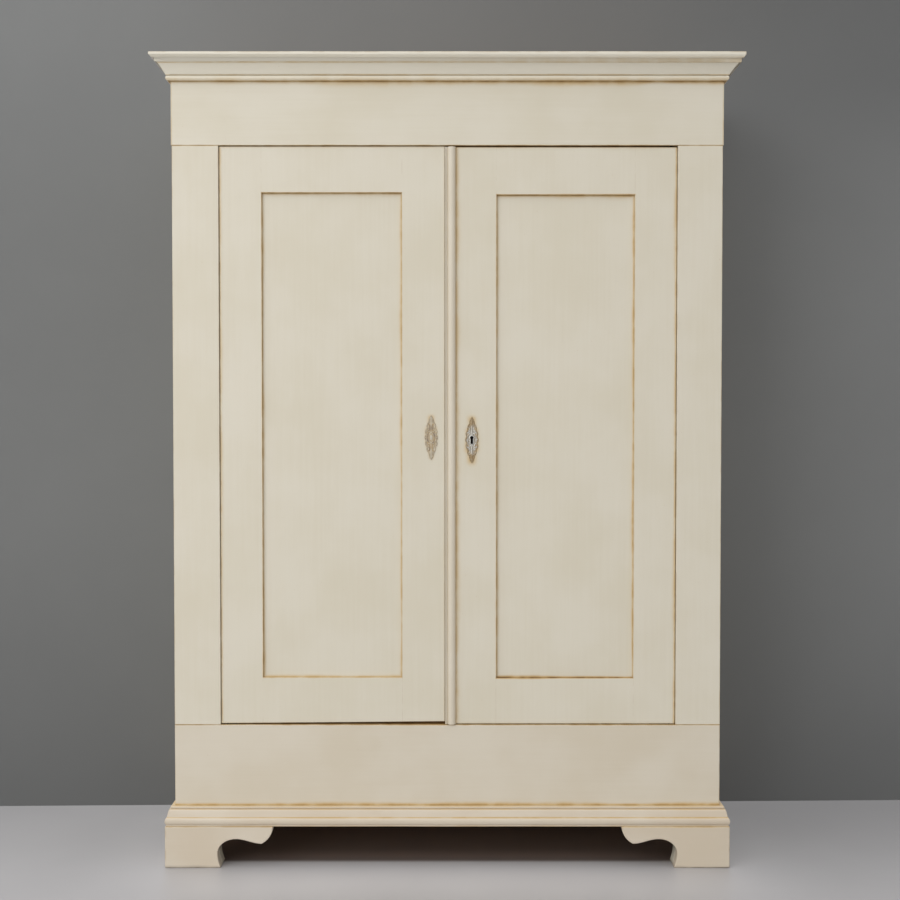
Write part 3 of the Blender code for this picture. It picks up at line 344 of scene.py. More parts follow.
# %% Set the lamps and the world
LAMPS = {
    "window_lamp": {"place": (-2.7, -4.1, 2.7), "aim": (0.0, 0.0, 2.4), "width": 3.6,
                    "height": 3.6, "power": 87},
    "floor_glow": {"place": (-0.3, -3.2, 0.3), "aim": (0.0, 0.0, 1.7), "width": 6.0,
                   "height": 1.2, "power": 7},
}
WORLD_COLOUR = srgb(250, 250, 252)
WORLD_RISE = (-0.1, 0.8)
RISE_STRENGTHS = (0.42, 1.15)
WORLD_SIDES = (-1.0, 1.0)
SIDE_STRENGTHS = (1.3, 0.72)
BACKDROP_COLOUR = srgb(104, 105, 105)


def soft_lamp(name, place, aim, width, height, power):
    """Flat lamp at a place, turned toward a point."""
    data = bpy.data.lights.new(name, "AREA")
    data.shape = "RECTANGLE"
    data.size = width
    data.size_y = height
    data.energy = power
    lamp = bpy.data.objects.new(name, data)
    lamp.location = place
    lamp.rotation_euler = (Vector(aim) - Vector(place)).to_track_quat("-Z", "Y").to_euler()
    bpy.context.scene.collection.objects.link(lamp)


for name, settings in LAMPS.items():
    soft_lamp(name, **settings)
world = bpy.data.worlds.new("room_light")
bpy.context.scene.world = world
world.use_nodes = True
tree = world.node_tree
back = tree.nodes["Background"]
back.inputs["Color"].default_value = WORLD_COLOUR
ways = split(tree, put(tree, "ShaderNodeTexCoord").outputs["Generated"])
glow = times(tree, fade(tree, ways["Z"], *WORLD_RISE, *RISE_STRENGTHS),
             fade(tree, ways["X"], *WORLD_SIDES, *SIDE_STRENGTHS))
tree.links.new(glow, back.inputs["Strength"])
plain = put(tree, "ShaderNodeBackground", {"Color": BACKDROP_COLOUR, "Strength": 1.0})
both = put(tree, "ShaderNodeMixShader",
           {0: put(tree, "ShaderNodeLightPath").outputs["Is Camera Ray"],
            1: back.outputs[0], 2: plain.outputs[0]})
tree.links.new(both.outputs[0], tree.nodes["World Output"].inputs["Surface"])
bpy.context.scene.view_settings.view_transform = "Standard"
print("lamps:", len(LAMPS))

# %% [markdown]
# ## The paint
# The real paint was brushed on in thin coats and then rubbed with a brown glaze, which stayed in
# every joint and was wiped off the flats. So the colour at a point depends on how far it is from
# a joint. Each joint is a thin box, and a node group measures the distance to one such box. The
# noise that breaks the line up is made once and shared by all of them.

# %% Group: glaze along one joint
WANDER_RANGE = (0.25, 0.75)
REACH_SHARES = (0.55, 1.45)
PATCH_RANGE = (0.3, 0.65)
PATCH_LEAST = 0.62

group, into, out = open_group(
    "seam_glaze",
    {"Position": Vector(), "Low": Vector(), "High": Vector(), "Reach": 0.01, "Strength": 1.0,
     "Wander": 0.5, "Patches": 0.5},
    {"Glaze": float})
middle = calc_vector(group, "SCALE", calc_vector(group, "ADD", into["Low"], into["High"]))
middle.node.inputs["Scale"].default_value = 0.5
half = calc_vector(group, "SUBTRACT", into["High"], middle)
past = calc_vector(group, "SUBTRACT", calc_vector(
    group, "ABSOLUTE", calc_vector(group, "SUBTRACT", into["Position"], middle)), half)
gap = calc_vector(group, "LENGTH", calc_vector(group, "MAXIMUM", past, Vector()))
here = times(group, into["Reach"], fade(group, into["Wander"], *WANDER_RANGE, *REACH_SHARES))
near = nearness(group, gap, here)
broken = fade(group, into["Patches"], *PATCH_RANGE, PATCH_LEAST, 1.0)
group.links.new(times(group, near, near, broken, into["Strength"]), out["Glaze"])
print("seam group:", len(group.nodes), "nodes")

# %% [markdown]
# Edges are where hands and cloths rub, and there the paint is thin. On a board, the nearest edge
# is found from the distances to its six faces: on the surface the smallest of the three is
# nought, so the middle one is the distance to the edge.

# %% Group: worn edges of a board
RUBBED_RANGE = (0.42, 0.62)

group, into, out = open_group(
    "worn_edges", {"Position": Vector(), "Low": Vector(), "High": Vector(), "Width": 0.003,
                   "Patches": 0.5}, {"Wear": float})
above = calc_vector(group, "SUBTRACT", into["Position"], into["Low"])
below = calc_vector(group, "SUBTRACT", into["High"], into["Position"])
x, y, z = split(group, calc_vector(group, "MINIMUM", above, below))
edge = calc(group, "MAXIMUM", calc(group, "MINIMUM", x, y),
            calc(group, "MINIMUM", calc(group, "MAXIMUM", x, y), z))
rubbed = fade(group, into["Patches"], *RUBBED_RANGE)
group.links.new(times(group, nearness(group, edge, into["Width"]), rubbed), out["Wear"])
print("edge group:", len(group.nodes), "nodes")

# %% [markdown]
# The third group holds the coats of paint themselves: faint brush strokes that run along the
# board, slow clouds of warmer and cooler cream, a film of grime near the floor, a few specks, and
# the glaze and the wear over them. Both wood groups take a position whose Z runs along the grain.

# %% Group: brushed cream paint
CREAM_LIGHT = srgb(221, 214, 196)
CREAM_WARM = srgb(216, 208, 187)
CREAM_PAINTED_LIGHT = srgb(243, 238, 222)
GLAZE_OCHRE = srgb(206, 177, 122)
GLAZE_TAN = srgb(176, 141, 84)
GLAZE_BROWN = srgb(108, 74, 38)
GLAZE_STEPS = ((0.0, 0.45, 0.75, GLAZE_OCHRE), (0.3, 0.75, 0.9, GLAZE_TAN),
               (0.72, 1.0, 0.9, GLAZE_BROWN))
GRIME = srgb(188, 156, 128)
GRIME_SHARES = (0.85, 1.15)
WORN_WOOD = srgb(168, 138, 98)
WORN_SHARE = 0.4
DIRT_AND_SHADE_COLOUR = srgb(92, 82, 70)
STROKE_SCALE = Vector((170, 170, 5))
STROKE_SHARE = 0.2
CLOUD_SCALE = 5.0
CLOUD_ROUGH = 0.55
SPECK_SCALE = 230.0
SPECK_RANGE = (0.75, 0.8)
SPECK_SHARE = 0.3
PAINT_ROUGHNESS = (0.44, 0.54)
GLAZE_ROUGHER = 0.15

group, into, out = open_group(
    "brushed_paint", {"Along": Vector(), "Seed": 0.0, "Glaze": 0.0, "Wear": 0.0, "Grime": 0.0,
                      "DirtAndShade": 0.0, "PaintedLight": 0.0},
    {"Color": tuple, "Roughness": float, "Height": float})
moved = calc_vector(group, "ADD", into["Along"], into["Seed"])
strokes = cloud(group, calc_vector(group, "MULTIPLY", moved, STROKE_SCALE), 1.0, 3.0)
clouds = cloud(group, moved, CLOUD_SCALE, 3.0, CLOUD_ROUGH)
specks = fade(group, cloud(group, moved, SPECK_SCALE, 2.0), *SPECK_RANGE)
tone = calc(group, "ADD", times(group, strokes, STROKE_SHARE),
            times(group, clouds, 1 - STROKE_SHARE))
colour = blend_colours(group, fade(group, tone, *NOISE_RANGE), CREAM_LIGHT, CREAM_WARM)
# Painted light: a paler cream, by the share that a piece is given.
colour = blend_colours(group, into["PaintedLight"], colour, CREAM_PAINTED_LIGHT)
film = times(group, into["Grime"], fade(group, clouds, *PATCH_RANGE, *GRIME_SHARES))
colour = blend_colours(group, film, colour, GRIME)
for start, end, share, tint in GLAZE_STEPS:
    amount = times(group, fade(group, into["Glaze"], start, end), share)
    colour = blend_colours(group, amount, colour, tint)
colour = blend_colours(group, times(group, into["Wear"], WORN_SHARE), colour, WORN_WOOD)
colour = blend_colours(group, times(group, specks, SPECK_SHARE), colour, GLAZE_TAN)
# Dark dirt, and painted shade where a piece is given it.
colour = blend_colours(group, into["DirtAndShade"], colour, DIRT_AND_SHADE_COLOUR)
group.links.new(colour, out["Color"])
dull = calc(group, "ADD", fade(group, strokes, *NOISE_RANGE, *PAINT_ROUGHNESS),
            times(group, into["Glaze"], GLAZE_ROUGHER))
group.links.new(dull, out["Roughness"])
group.links.new(strokes, out["Height"])
print("paint group:", len(group.nodes), "nodes")

# %% [markdown]
# ## Bare pine
# Nobody paints the inside of a country wardrobe. A board is a slice of a trunk, so we measure how
# far each point lies from the heart of the tree, which runs beside the board and slants a little.
# Where the board cuts the yearly rings flat, they show as long arches. Fine fibres, dark knots
# that push the rings aside, and dust on what faces up go over them.

# %% Group: the rings and knots of old pine
RINGS_PER_METRE = 250.0
RING_RISE = (0.25, 0.85)
RING_FALL = (1.0, 0.93)
RING_STRENGTHS = (0.5, 0.9)
HEART_SLANT = 0.3
SLOW_SCALE = Vector((9, 9, 1.6))
SLOW_PUSH = 0.03
KNOT_SCALE = Vector((4.6, 4.6, 2.8))
KNOTS_ABOVE = 0.6
KNOT_EDGE = (0.045, 0.075)
KNOT_REACH = (0.0, 0.3)
KNOT_PUSH = 0.014
FIBRE_SCALE = Vector((420, 420, 9))
FIBRE_RANGE = (0.2, 0.7)

group, into, out = open_group(
    "old_pine", {"Along": Vector(), "Heart": Vector(), "Seed": 0.0, "Dust": 0.0, "DirtAndShade": 0.0},
    {"Color": tuple, "Roughness": float, "Height": float})
moved = calc_vector(group, "ADD", into["Along"], into["Seed"])
cells = put(group, "ShaderNodeTexVoronoi", {
    "Vector": calc_vector(group, "MULTIPLY", moved, KNOT_SCALE), "Scale": 1.0}).outputs
kept = calc(group, "GREATER_THAN", split(group, cells["Color"])["X"], KNOTS_ABOVE)
bulge = times(group, kept, fade(group, cells["Distance"], *KNOT_REACH, 1.0, 0.0))
knot = times(group, kept, fade(group, cells["Distance"], *KNOT_EDGE, 1.0, 0.0))
_, _, length = split(group, into["Along"])
heart = calc_vector(group, "SCALE", into["Heart"])
group.links.new(calc(group, "ADD", 1.0, times(group, length, HEART_SLANT)),
                heart.node.inputs["Scale"])
off = calc_vector(group, "MULTIPLY", calc_vector(group, "SUBTRACT", into["Along"], heart),
                  Vector((1, 1, 0)))
slow = cloud(group, calc_vector(group, "MULTIPLY", moved, SLOW_SCALE), 1.0, 2.0)
push = calc(group, "ADD", times(group, bulge, KNOT_PUSH), times(group, slow, SLOW_PUSH))
radius = calc(group, "ADD", calc_vector(group, "LENGTH", off), push)
ring = calc(group, "FRACT", times(group, radius, RINGS_PER_METRE))
late = times(group, fade(group, ring, *RING_RISE), fade(group, ring, *RING_FALL))
fibres = cloud(group, calc_vector(group, "MULTIPLY", moved, FIBRE_SCALE), 1.0, 3.0)
line = times(group, late, fade(group, fibres, *FIBRE_RANGE, *RING_STRENGTHS))
print("ring nodes:", len(group.nodes))

# %% [markdown]
# The second half of the same group lays the rest over the rings, in the order in which a board
# gets it: stains that grow with age, the dark of the knots, dust, and dirt in the joints, which
# also carries painted shade where a piece is given it.

# %% Group: the age of old pine
STAIN_SCALE = 3.2
STAIN_ROUGH = 0.6
STAIN_RANGE = (0.45, 0.8)
STAIN_SHARE = 0.45
DUST_RANGE = (0.25, 0.65)
DUST_SHARES = (0.45, 0.9)
PINE_ROUGHNESS = (0.62, 0.78)
PINE_LIGHT = srgb(200, 164, 116)
PINE_RING = srgb(164, 118, 72)
PINE_KNOT = srgb(88, 55, 33)
PINE_STAIN = srgb(124, 92, 62)
DUST = srgb(150, 141, 127)

clouds = cloud(group, moved, STAIN_SCALE, 4.0, STAIN_ROUGH)
stained = times(group, fade(group, clouds, *STAIN_RANGE), STAIN_SHARE)
dusty = times(group, into["Dust"], fade(group, clouds, *DUST_RANGE, *DUST_SHARES))
colour = blend_colours(group, line, PINE_LIGHT, PINE_RING)
for share, tint in ((stained, PINE_STAIN), (knot, PINE_KNOT), (dusty, DUST),
                    (into["DirtAndShade"], PINE_KNOT)):
    colour = blend_colours(group, share, colour, tint)
group.links.new(colour, out["Color"])
group.links.new(fade(group, fibres, *NOISE_RANGE, *PINE_ROUGHNESS), out["Roughness"])
group.links.new(calc(group, "ADD", times(group, line, 0.5), fibres), out["Height"])
print("pine group:", len(group.nodes), "nodes")

# %% [markdown]
# ## Iron
# The lock, the bolts and their plates are wrought iron that has rusted a little and been handled
# bright on its edges.

# %% Group: old iron
IRON_DARK = srgb(66, 62, 58)
IRON_RUST = srgb(104, 70, 46)
IRON_BRIGHT = srgb(140, 134, 124)
RUST_SCALE = 70.0
RUST_ROUGH = 0.65
RUST_RANGE = (0.46, 0.66)
RUST_ROUGHER = 0.25
PIT_SCALE = 420.0
IRON_ROUGHNESS = (0.42, 0.56)

group, into, out = open_group("old_iron", {"Position": Vector(), "Wear": 0.0},
                              {"Color": tuple, "Roughness": float, "Height": float})
rust = fade(group, cloud(group, into["Position"], RUST_SCALE, 5.0, RUST_ROUGH), *RUST_RANGE)
pits = cloud(group, into["Position"], PIT_SCALE, 3.0)
colour = blend_colours(group, rust, IRON_DARK, IRON_RUST)
colour = blend_colours(group, into["Wear"], colour, IRON_BRIGHT)
group.links.new(colour, out["Color"])
group.links.new(calc(group, "ADD", times(group, rust, RUST_ROUGHER),
                     fade(group, pits, *NOISE_RANGE, *IRON_ROUGHNESS)), out["Roughness"])
group.links.new(pits, out["Height"])
print("iron group:", len(group.nodes), "nodes")

# %% [markdown]
# ## The joints of the outside
# All joint lines are read from the solids. The front's coordinates are X to the right and Z up,
# in metres. A joint is kept as the low and the high corner of its thin box, how far the glaze
# reaches from it, and how strong the glaze is. In a direction that doesn't matter the box goes on
# far past the wardrobe.

# %% Measure the joints
FAR = 10.0


def limits(node):
    """Left, right, bottom and top of a node's box."""
    low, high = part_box(node)
    return low.x, high.x, low.z, high.z


DOORS = {}
for door, hinge_first in (("left_door", True), ("right_door", False)):
    hinge = limits(f"{door}_hinge_stile")
    meeting = limits(f"{door}_meeting_stile")
    left, right = (hinge, meeting) if hinge_first else (meeting, hinge)
    DOORS[door] = {"outline": (left[0], right[1], left[2], left[3]),
                   "opening": (left[1], right[0], limits(f"{door}_bottom_rail")[3],
                               limits(f"{door}_top_rail")[2])}
STRIP_LEFT, STRIP_RIGHT = limits("cover_strip")[:2]
X_LEFT, X_RIGHT = limits("side_left")[0], limits("side_right")[1]
Z_CORNICE = limits("cornice_front")[2]
Z_HEAD = limits("front_stile_left")[3]
Z_SILL = limits("front_stile_left")[2]
Z_BASE = limits("base_moulding_front")[3]
Z_FEET = limits("base_moulding_front")[2]
Y_FRONT, Y_FRAME = (corner.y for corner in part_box("front_stile_left"))


def upright(x, low, high, reach, strength):
    """Joint that runs up the front, at one x."""
    return ((x, -FAR, low), (x, FAR, high), reach, strength)


def level(z, reach, strength, left=-FAR, right=FAR):
    """Joint that runs across, at one height."""
    return ((left, -FAR, z), (right, FAR, z), reach, strength)


def frame_round(box, reach, strengths):
    """Four joints round a box, with strengths for left, right, bottom and top."""
    left, right, bottom, top = box
    return [upright(left, bottom, top, reach, strengths[0]),
            upright(right, bottom, top, reach, strengths[1]),
            level(bottom, reach, strengths[2], left, right),
            level(top, reach, strengths[3], left, right)]


print("doors:", {name: [round(v, 4) for v in door["outline"]] for name, door in DOORS.items()})

# %% [markdown]
# ## One function for every board
# A board needs its box, the direction of its grain, the joints that it touches, and which of its
# faces were left bare. Everything is measured in the piece's own space, and nothing looks at the
# camera, so the pattern stays put when a door swings.

# %% Helpers for the board's pattern
GRAIN_ORDER = {"X": ("Z", "Y", "X"), "Y": ("X", "Z", "Y"), "Z": ("X", "Y", "Z")}
FACING_RANGE = (0.4, 0.6)
WANDER_SCALE = 5.0
HEART_LEAST, HEART_MORE = 0.035, 0.03
HEART_ASIDE = 0.3
SEED_SPREADS = (7.3, 12.9)


def along_grain(tree, place, along):
    """Position turned so that its Z runs along the grain."""
    parts = split(tree, place)
    turned = put(tree, "ShaderNodeCombineXYZ",
                 {number: parts[axis] for number, axis in enumerate(GRAIN_ORDER[along])})
    return turned.outputs[0]


def facing(tree, direction):
    """One where the piece's own surface faces a direction, and nought elsewhere."""
    normal = put(tree, "ShaderNodeTexCoord").outputs["Normal"]
    return fade(tree, calc_vector(tree, "DOT_PRODUCT", normal, Vector(direction)), *FACING_RANGE)


def strongest_glaze(tree, place, patches, seams):
    """Strongest glaze of several joints. Two strengths run from the left side to the right."""
    wander = cloud(tree, place, WANDER_SCALE, 2.0)
    most = None
    for low, high, reach, strength in seams:
        if isinstance(strength, tuple):
            strength = fade(tree, split(tree, place)["X"], X_LEFT, X_RIGHT, *strength)
        glaze = use_group(tree, "seam_glaze", {
            "Position": place, "Low": Vector(low), "High": Vector(high), "Reach": reach,
            "Strength": strength, "Wander": wander, "Patches": patches})["Glaze"]
        most = glaze if most is None else calc(tree, "MAXIMUM", most, glaze)
    return 0.0 if most is None else most


def heart_of_tree(box, along, seed):
    """Where the heart of the tree ran, from the middle of a board, with Z along the grain."""
    size = box[1] - box[0]
    across = [getattr(size, axis.lower()) for axis in GRAIN_ORDER[along][:2]]
    thin = across.index(min(across))
    beside, aside = (math.sin(spread * seed) for spread in SEED_SPREADS)
    heart = [0.0, 0.0]
    heart[thin] = HEART_LEAST + HEART_MORE * abs(beside)
    heart[1 - thin] = HEART_ASIDE * across[1 - thin] * aside
    return Vector((*heart, 0.0))


print("board helpers ready")

# %% A material for any board
PATCH_SCALE = 26.0
BOARD_BUMP = {"Strength": 0.25, "Distance": 0.0005}
PLAIN_WEAR = 0.002


def board_material(name, box, along, seams=(), painted=True, bare=None, only=None, dust=0.0,
                   wear=PLAIN_WEAR, seed=0.0, grime=0.0, dirt_and_shade=(), painted_light=0.0):
    """Paint or pine. Where a direction is bare, or the only one painted, it is both."""
    made, tree, shader = new_material(name)
    place = put(tree, "ShaderNodeTexCoord").outputs["Object"]
    patches = cloud(tree, place, PATCH_SCALE, 3.0)
    # Dark marks of dirt and of painted shade, from the boxes that a piece is given.
    dirt_and_shade_share = strongest_glaze(tree, place, patches, dirt_and_shade)
    finishes = []
    if painted:
        worn = use_group(tree, "worn_edges", {"Position": place, "Low": box[0], "High": box[1],
                                              "Width": wear, "Patches": patches})["Wear"]
        glaze = strongest_glaze(tree, place, patches, seams)
        finishes.append(use_group(tree, "brushed_paint", {
            "Along": along_grain(tree, place, along), "Seed": seed, "Wear": worn, "Glaze": glaze,
            "Grime": grime, "DirtAndShade": dirt_and_shade_share, "PaintedLight": painted_light}))
    if not painted or bare or only:
        up = times(tree, facing(tree, (0, 0, 1)), dust)
        inside = calc_vector(tree, "SUBTRACT", place, (box[0] + box[1]) / 2)
        finishes.append(use_group(tree, "old_pine", {
            "Along": along_grain(tree, inside, along), "Seed": seed, "Dust": up, "DirtAndShade": dirt_and_shade_share,
            "Heart": heart_of_tree(box, along, seed)}))
    colour, roughness, height = (finishes[0][part] for part in ("Color", "Roughness", "Height"))
    if len(finishes) == 2:
        share = facing(tree, bare) if bare else calc(tree, "SUBTRACT", 1.0, facing(tree, only))
        colour = blend_colours(tree, share, colour, finishes[1]["Color"])
        roughness = fade(tree, share, 0.0, 1.0, roughness, finishes[1]["Roughness"])
        height = fade(tree, share, 0.0, 1.0, height, finishes[1]["Height"])
    tree.links.new(colour, shader.inputs["Base Color"])
    tree.links.new(roughness, shader.inputs["Roughness"])
    bump = put(tree, "ShaderNodeBump", {**BOARD_BUMP, "Height": height})
    tree.links.new(bump.outputs[0], shader.inputs["Normal"])
    return made


def dress(node, material):
    """Give a CAD node a new material."""
    slot = NODES[node].material_slots[0]
    slot.link = "OBJECT"
    slot.material = material


print("board material ready")

# %% [markdown]
# ## The doors
# Where the real glaze is strong, a joint gets a longer reach and more strength: along the hinge
# sides, round both panels, and beside the cover strip. Wiping the flats dragged a thin golden
# halo onto each panel, below its top and above its bottom. Each key plate has a stain round it,
# from hands and polish, and the stain follows the plate's shape. The doors were brushed upright,
# rails too. Numbers in fours are for the left, right, bottom and top of a frame.

# %% Materials of the doors
FRAME_PARTS = ("hinge_stile", "meeting_stile", "top_rail", "bottom_rail")
OUTLINE_REACH = 0.011
OUTLINE_GLAZE = {"left_door": (0.36, 0.1, 0.3, 0.3), "right_door": (0.15, 0.5, 0.25, 0.3)}
RAIL_GLAZE = {"left_door": (0.0035, (0.5, 0.3, 0.4, 0.85)),
              "right_door": (0.0045, (0.4, 0.35, 1.0, 0.75))}
PANEL_REACH = 0.0095
PANEL_GLAZE = {"left_door": (0.64, 0.72, 0.65, 0.78), "right_door": (0.64, 0.75, 1.0, 0.88)}
TOP_HALO_REACH, BOTTOM_HALO_REACH = 0.018, 0.014
PANEL_HALO = {"left_door": (0.42, 0.2), "right_door": (0.42, 0.4)}
STRIP_LAP = 0.003
STRIP_REACH = 0.018
STRIP_GLAZE = 0.55
STAIN_REACH = 0.019
STAIN_CORES = ((0.015, 0.006), (0.0085, 0.034))
KEY_STAIN = {"left_door": 0.5, "right_door": 0.7}
DOOR_SEED = {"left_door": 9.0, "right_door": 10.0}
PANEL_SEED = {"left_door": 12.0, "right_door": 13.0}
DOOR_WEAR = 0.0015
door_materials = {}

for door, sizes in DOORS.items():
    frame_seams = frame_round(sizes["outline"], OUTLINE_REACH, OUTLINE_GLAZE[door])
    frame_seams += frame_round(sizes["opening"], *RAIL_GLAZE[door])
    plate_low, plate_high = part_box("escutcheon_" + door.split("_")[0])
    stains = [((plate_low.x + aside, -FAR, plate_low.z + end),
               (plate_high.x - aside, FAR, plate_high.z - end), STAIN_REACH, KEY_STAIN[door])
              for aside, end in STAIN_CORES]
    for part in FRAME_PARTS:
        node = f"{door}_{part}"
        seams = frame_seams + (stains if part == "meeting_stile" else [])
        if node == "right_door_meeting_stile":
            _, _, bottom, top = sizes["outline"]
            seams.append(upright(STRIP_RIGHT - STRIP_LAP, bottom, top, STRIP_REACH, STRIP_GLAZE))
        door_materials[node] = board_material(f"paint_{node}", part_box(node), "Z", seams,
                                              seed=DOOR_SEED[door], wear=DOOR_WEAR)
    node = f"{door}_panel"
    left, right, bottom, top = sizes["opening"]
    seams = frame_round(sizes["opening"], PANEL_REACH, PANEL_GLAZE[door])
    seams += [level(top, TOP_HALO_REACH, PANEL_HALO[door][0], left, right),
              level(bottom, BOTTOM_HALO_REACH, PANEL_HALO[door][1], left, right)]
    door_materials[node] = board_material(f"paint_{node}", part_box(node), "Z", seams,
                                          seed=PANEL_SEED[door])
    dress(node, door_materials[node])
print("door materials:", len(door_materials))

# %% [markdown]
# ## The frame and the sides
# These boards are one table: the grain of each, its joints, and the direction in which its face
# was left bare. The inner faces look at the inside of the wardrobe, where the pine was never
# painted. Under the cornice lies a dark line and a wide soft band below it, partly glaze and partly
# painted shade from the cornice's overhang; the band is stronger on the right.

# %% Materials of the frame and the sides
BUTT_REACH = 0.0028
HEAD_GLAZE, SILL_GLAZE = 0.8, 0.95
CORNER_REACH, CORNER_GLAZE = 0.003, 0.4
SIDE_REACH, SIDE_GLAZE = 0.0025, 0.5
JAMB_REACH, LEFT_JAMB_GLAZE, RIGHT_JAMB_GLAZE = 0.005, 0.2, 0.25
BASE_REACH, BASE_GLAZE = 0.011, 0.75
SHADE_LINE = (0.0035, 1.0)
SHADE_WIDE = (0.018, (0.4, 0.75))
FRAME_SEED = 11.0
FRAME_WEAR = 0.0025
FRAME_GRIME = {"lower_rail": 0.14}
BEHIND, LEFTWARD, RIGHTWARD = (0, 1, 0), (-1, 0, 0), (1, 0, 0)

head_joint = level(Z_HEAD, BUTT_REACH, HEAD_GLAZE)
sill_joint = level(Z_SILL, BUTT_REACH, SILL_GLAZE)
base_joint = level(Z_BASE, BASE_REACH, BASE_GLAZE)
corners = [((x, Y_FRONT, 0), (x, Y_FRONT, FAR), CORNER_REACH, CORNER_GLAZE)
           for x in (X_LEFT, X_RIGHT)]
side_joint = ((-FAR, Y_FRAME, 0), (FAR, Y_FRAME, FAR), SIDE_REACH, SIDE_GLAZE)
left_jamb = upright(DOORS["left_door"]["outline"][0], Z_SILL, Z_HEAD, JAMB_REACH, LEFT_JAMB_GLAZE)
right_jamb = upright(DOORS["right_door"]["outline"][1], Z_SILL, Z_HEAD, JAMB_REACH,
                     RIGHT_JAMB_GLAZE)
# Partly glaze, partly painted shade under the cornice's overhang.
cornice_shade = [level(Z_CORNICE, *SHADE_LINE), level(Z_CORNICE, *SHADE_WIDE)]
FRAME = {
    "front_stile_left": ("Z", [head_joint, sill_joint, left_jamb, *corners], BEHIND),
    "front_stile_right": ("Z", [head_joint, sill_joint, right_jamb, *corners], BEHIND),
    "frieze_rail": ("X", [head_joint, *cornice_shade, *corners], BEHIND),
    "lower_rail": ("X", [sill_joint, base_joint, *corners], BEHIND),
    "side_left": ("Z", [side_joint, *cornice_shade, base_joint], RIGHTWARD),
    "side_right": ("Z", [side_joint, *cornice_shade, base_joint], LEFTWARD),
}
for number, (node, (along, seams, bare)) in enumerate(FRAME.items()):
    dress(node, board_material(f"finish_{node}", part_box(node), along, seams, bare=bare,
                               seed=FRAME_SEED + number, wear=FRAME_WEAR,
                               grime=FRAME_GRIME.get(node, 0.0)))
print("frame and sides:", len(FRAME))

# %% [markdown]
# ## The bare boards
# The boards inside were never painted. On what faces up, dust has settled: most on the top board,
# which nobody sees, and some on the shelf and the bottom. Each board gets its own seed, as if it
# came from another part of the tree.

# %% Materials of the bare boards
PINE_SEED_STEP = 1.7
BARE = {"bottom_bearer": ("X", 0.0), "bottom_board": ("X", 0.25), "top_board": ("X", 0.7),
        "door_stop_top": ("X", 0.0), "door_stop_bottom": ("X", 0.3), "hat_shelf": ("X", 0.35),
        "shelf_cleat_left": ("Y", 0.2), "shelf_cleat_right": ("Y", 0.2),
        "foot_post_rear_left": ("Z", 0.0), "foot_post_rear_right": ("Z", 0.0)}

for number, (node, (along, dust)) in enumerate(BARE.items()):
    dress(node, board_material(f"pine_{node}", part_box(node), along, painted=False, dust=dust,
                               seed=PINE_SEED_STEP * number))
print("bare boards:", len(BARE))

# %% [markdown]
# ## Pieces with finer shapes
# Some solids are right in size but too plain up close. We copy such a solid's mesh, merge its
# loose triangles, and work on the copy. The piece then stands for its node and rides on the same
# body.

# %% Helpers for remade pieces
CARCASE = "carcase"
SMOOTH_UP_TO = math.radians(20)
STRAIGHT_UP_TO = 0.002
SAME_POINT = 2e-6
ON_CUT = 1e-7
FLAT_WIDTH = 0.009


def copy_solid(node):
    """Merged copy of a solid's mesh."""
    made = bmesh.new()
    made.from_mesh(NODES[node].data)
    bmesh.ops.remove_doubles(made, verts=made.verts, dist=SAME_POINT)
    bmesh.ops.dissolve_limit(made, angle_limit=STRAIGHT_UP_TO, verts=made.verts, edges=made.edges)
    return made


def axis_vector(axis):
    """Unit vector along an axis that is given as a letter."""
    return Vector(float(letter == axis) for letter in "XYZ")


def slice_solid(made, axis, places):
    """Cut edge loops across a mesh at places along an axis."""
    normal = axis_vector(axis)
    for place in places:
        bmesh.ops.bisect_plane(made, geom=made.verts[:] + made.edges[:] + made.faces[:],
                               dist=ON_CUT, plane_co=normal * place, plane_no=normal)


def add_piece(name, made, material, body, slot, *nodes, smooth_up_to=SMOOTH_UP_TO):
    """Piece from a worked mesh. It rides on a body and stands for its nodes.

    Only narrow faces are shaded smooth, so that wide flats stay flat to the edge.
    """
    mesh = bpy.data.meshes.new(name)
    bmesh.ops.dissolve_degenerate(made, dist=SAME_POINT, edges=made.edges)
    bmesh.ops.remove_doubles(made, verts=made.verts, dist=SAME_POINT)
    narrow = [2 * face.calc_area() < FLAT_WIDTH * face.calc_perimeter() for face in made.faces]
    made.to_mesh(mesh)
    made.free()
    mesh.set_sharp_from_angle(angle=smooth_up_to)
    mesh.polygons.foreach_set("use_smooth", narrow)
    mesh.materials.append(material)
    piece = bpy.data.objects.new(name, mesh)
    bpy.context.scene.collection.objects.link(piece)
    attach(piece, body)
    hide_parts(*nodes)


print("piece helpers ready")

# %% [markdown]
# ### Door frames
# Filler and paint hide the joints between stiles and rails, so on the copies the eased edges
# beside each joint are drawn together into one sharp line, flush on both faces. A door that turns
# on pins also needs a rounded hinge edge. Its curve is centred on the pins, so the gap can be
# narrow and the edge still clears the frame as it swings.

# %% Helpers for the door frames
EASED = 0.0016
ARRIS = 0.0012
EDGE_RADIUS = 0.0148
EDGE_STEPS = 9


def close_joint(made, x, low, high, faces):
    """Draw the eased edges beside a joint at x together, from low to high."""
    for vertex in made.verts:
        if abs(vertex.co.x - x) > EASED or not low - SAME_POINT < vertex.co.z < high + SAME_POINT:
            continue
        vertex.co.x = x
        if low + ARRIS - SAME_POINT < vertex.co.z < high - ARRIS + SAME_POINT:
            for face in faces:
                if abs(vertex.co.y - face) < EASED:
                    vertex.co.y = face


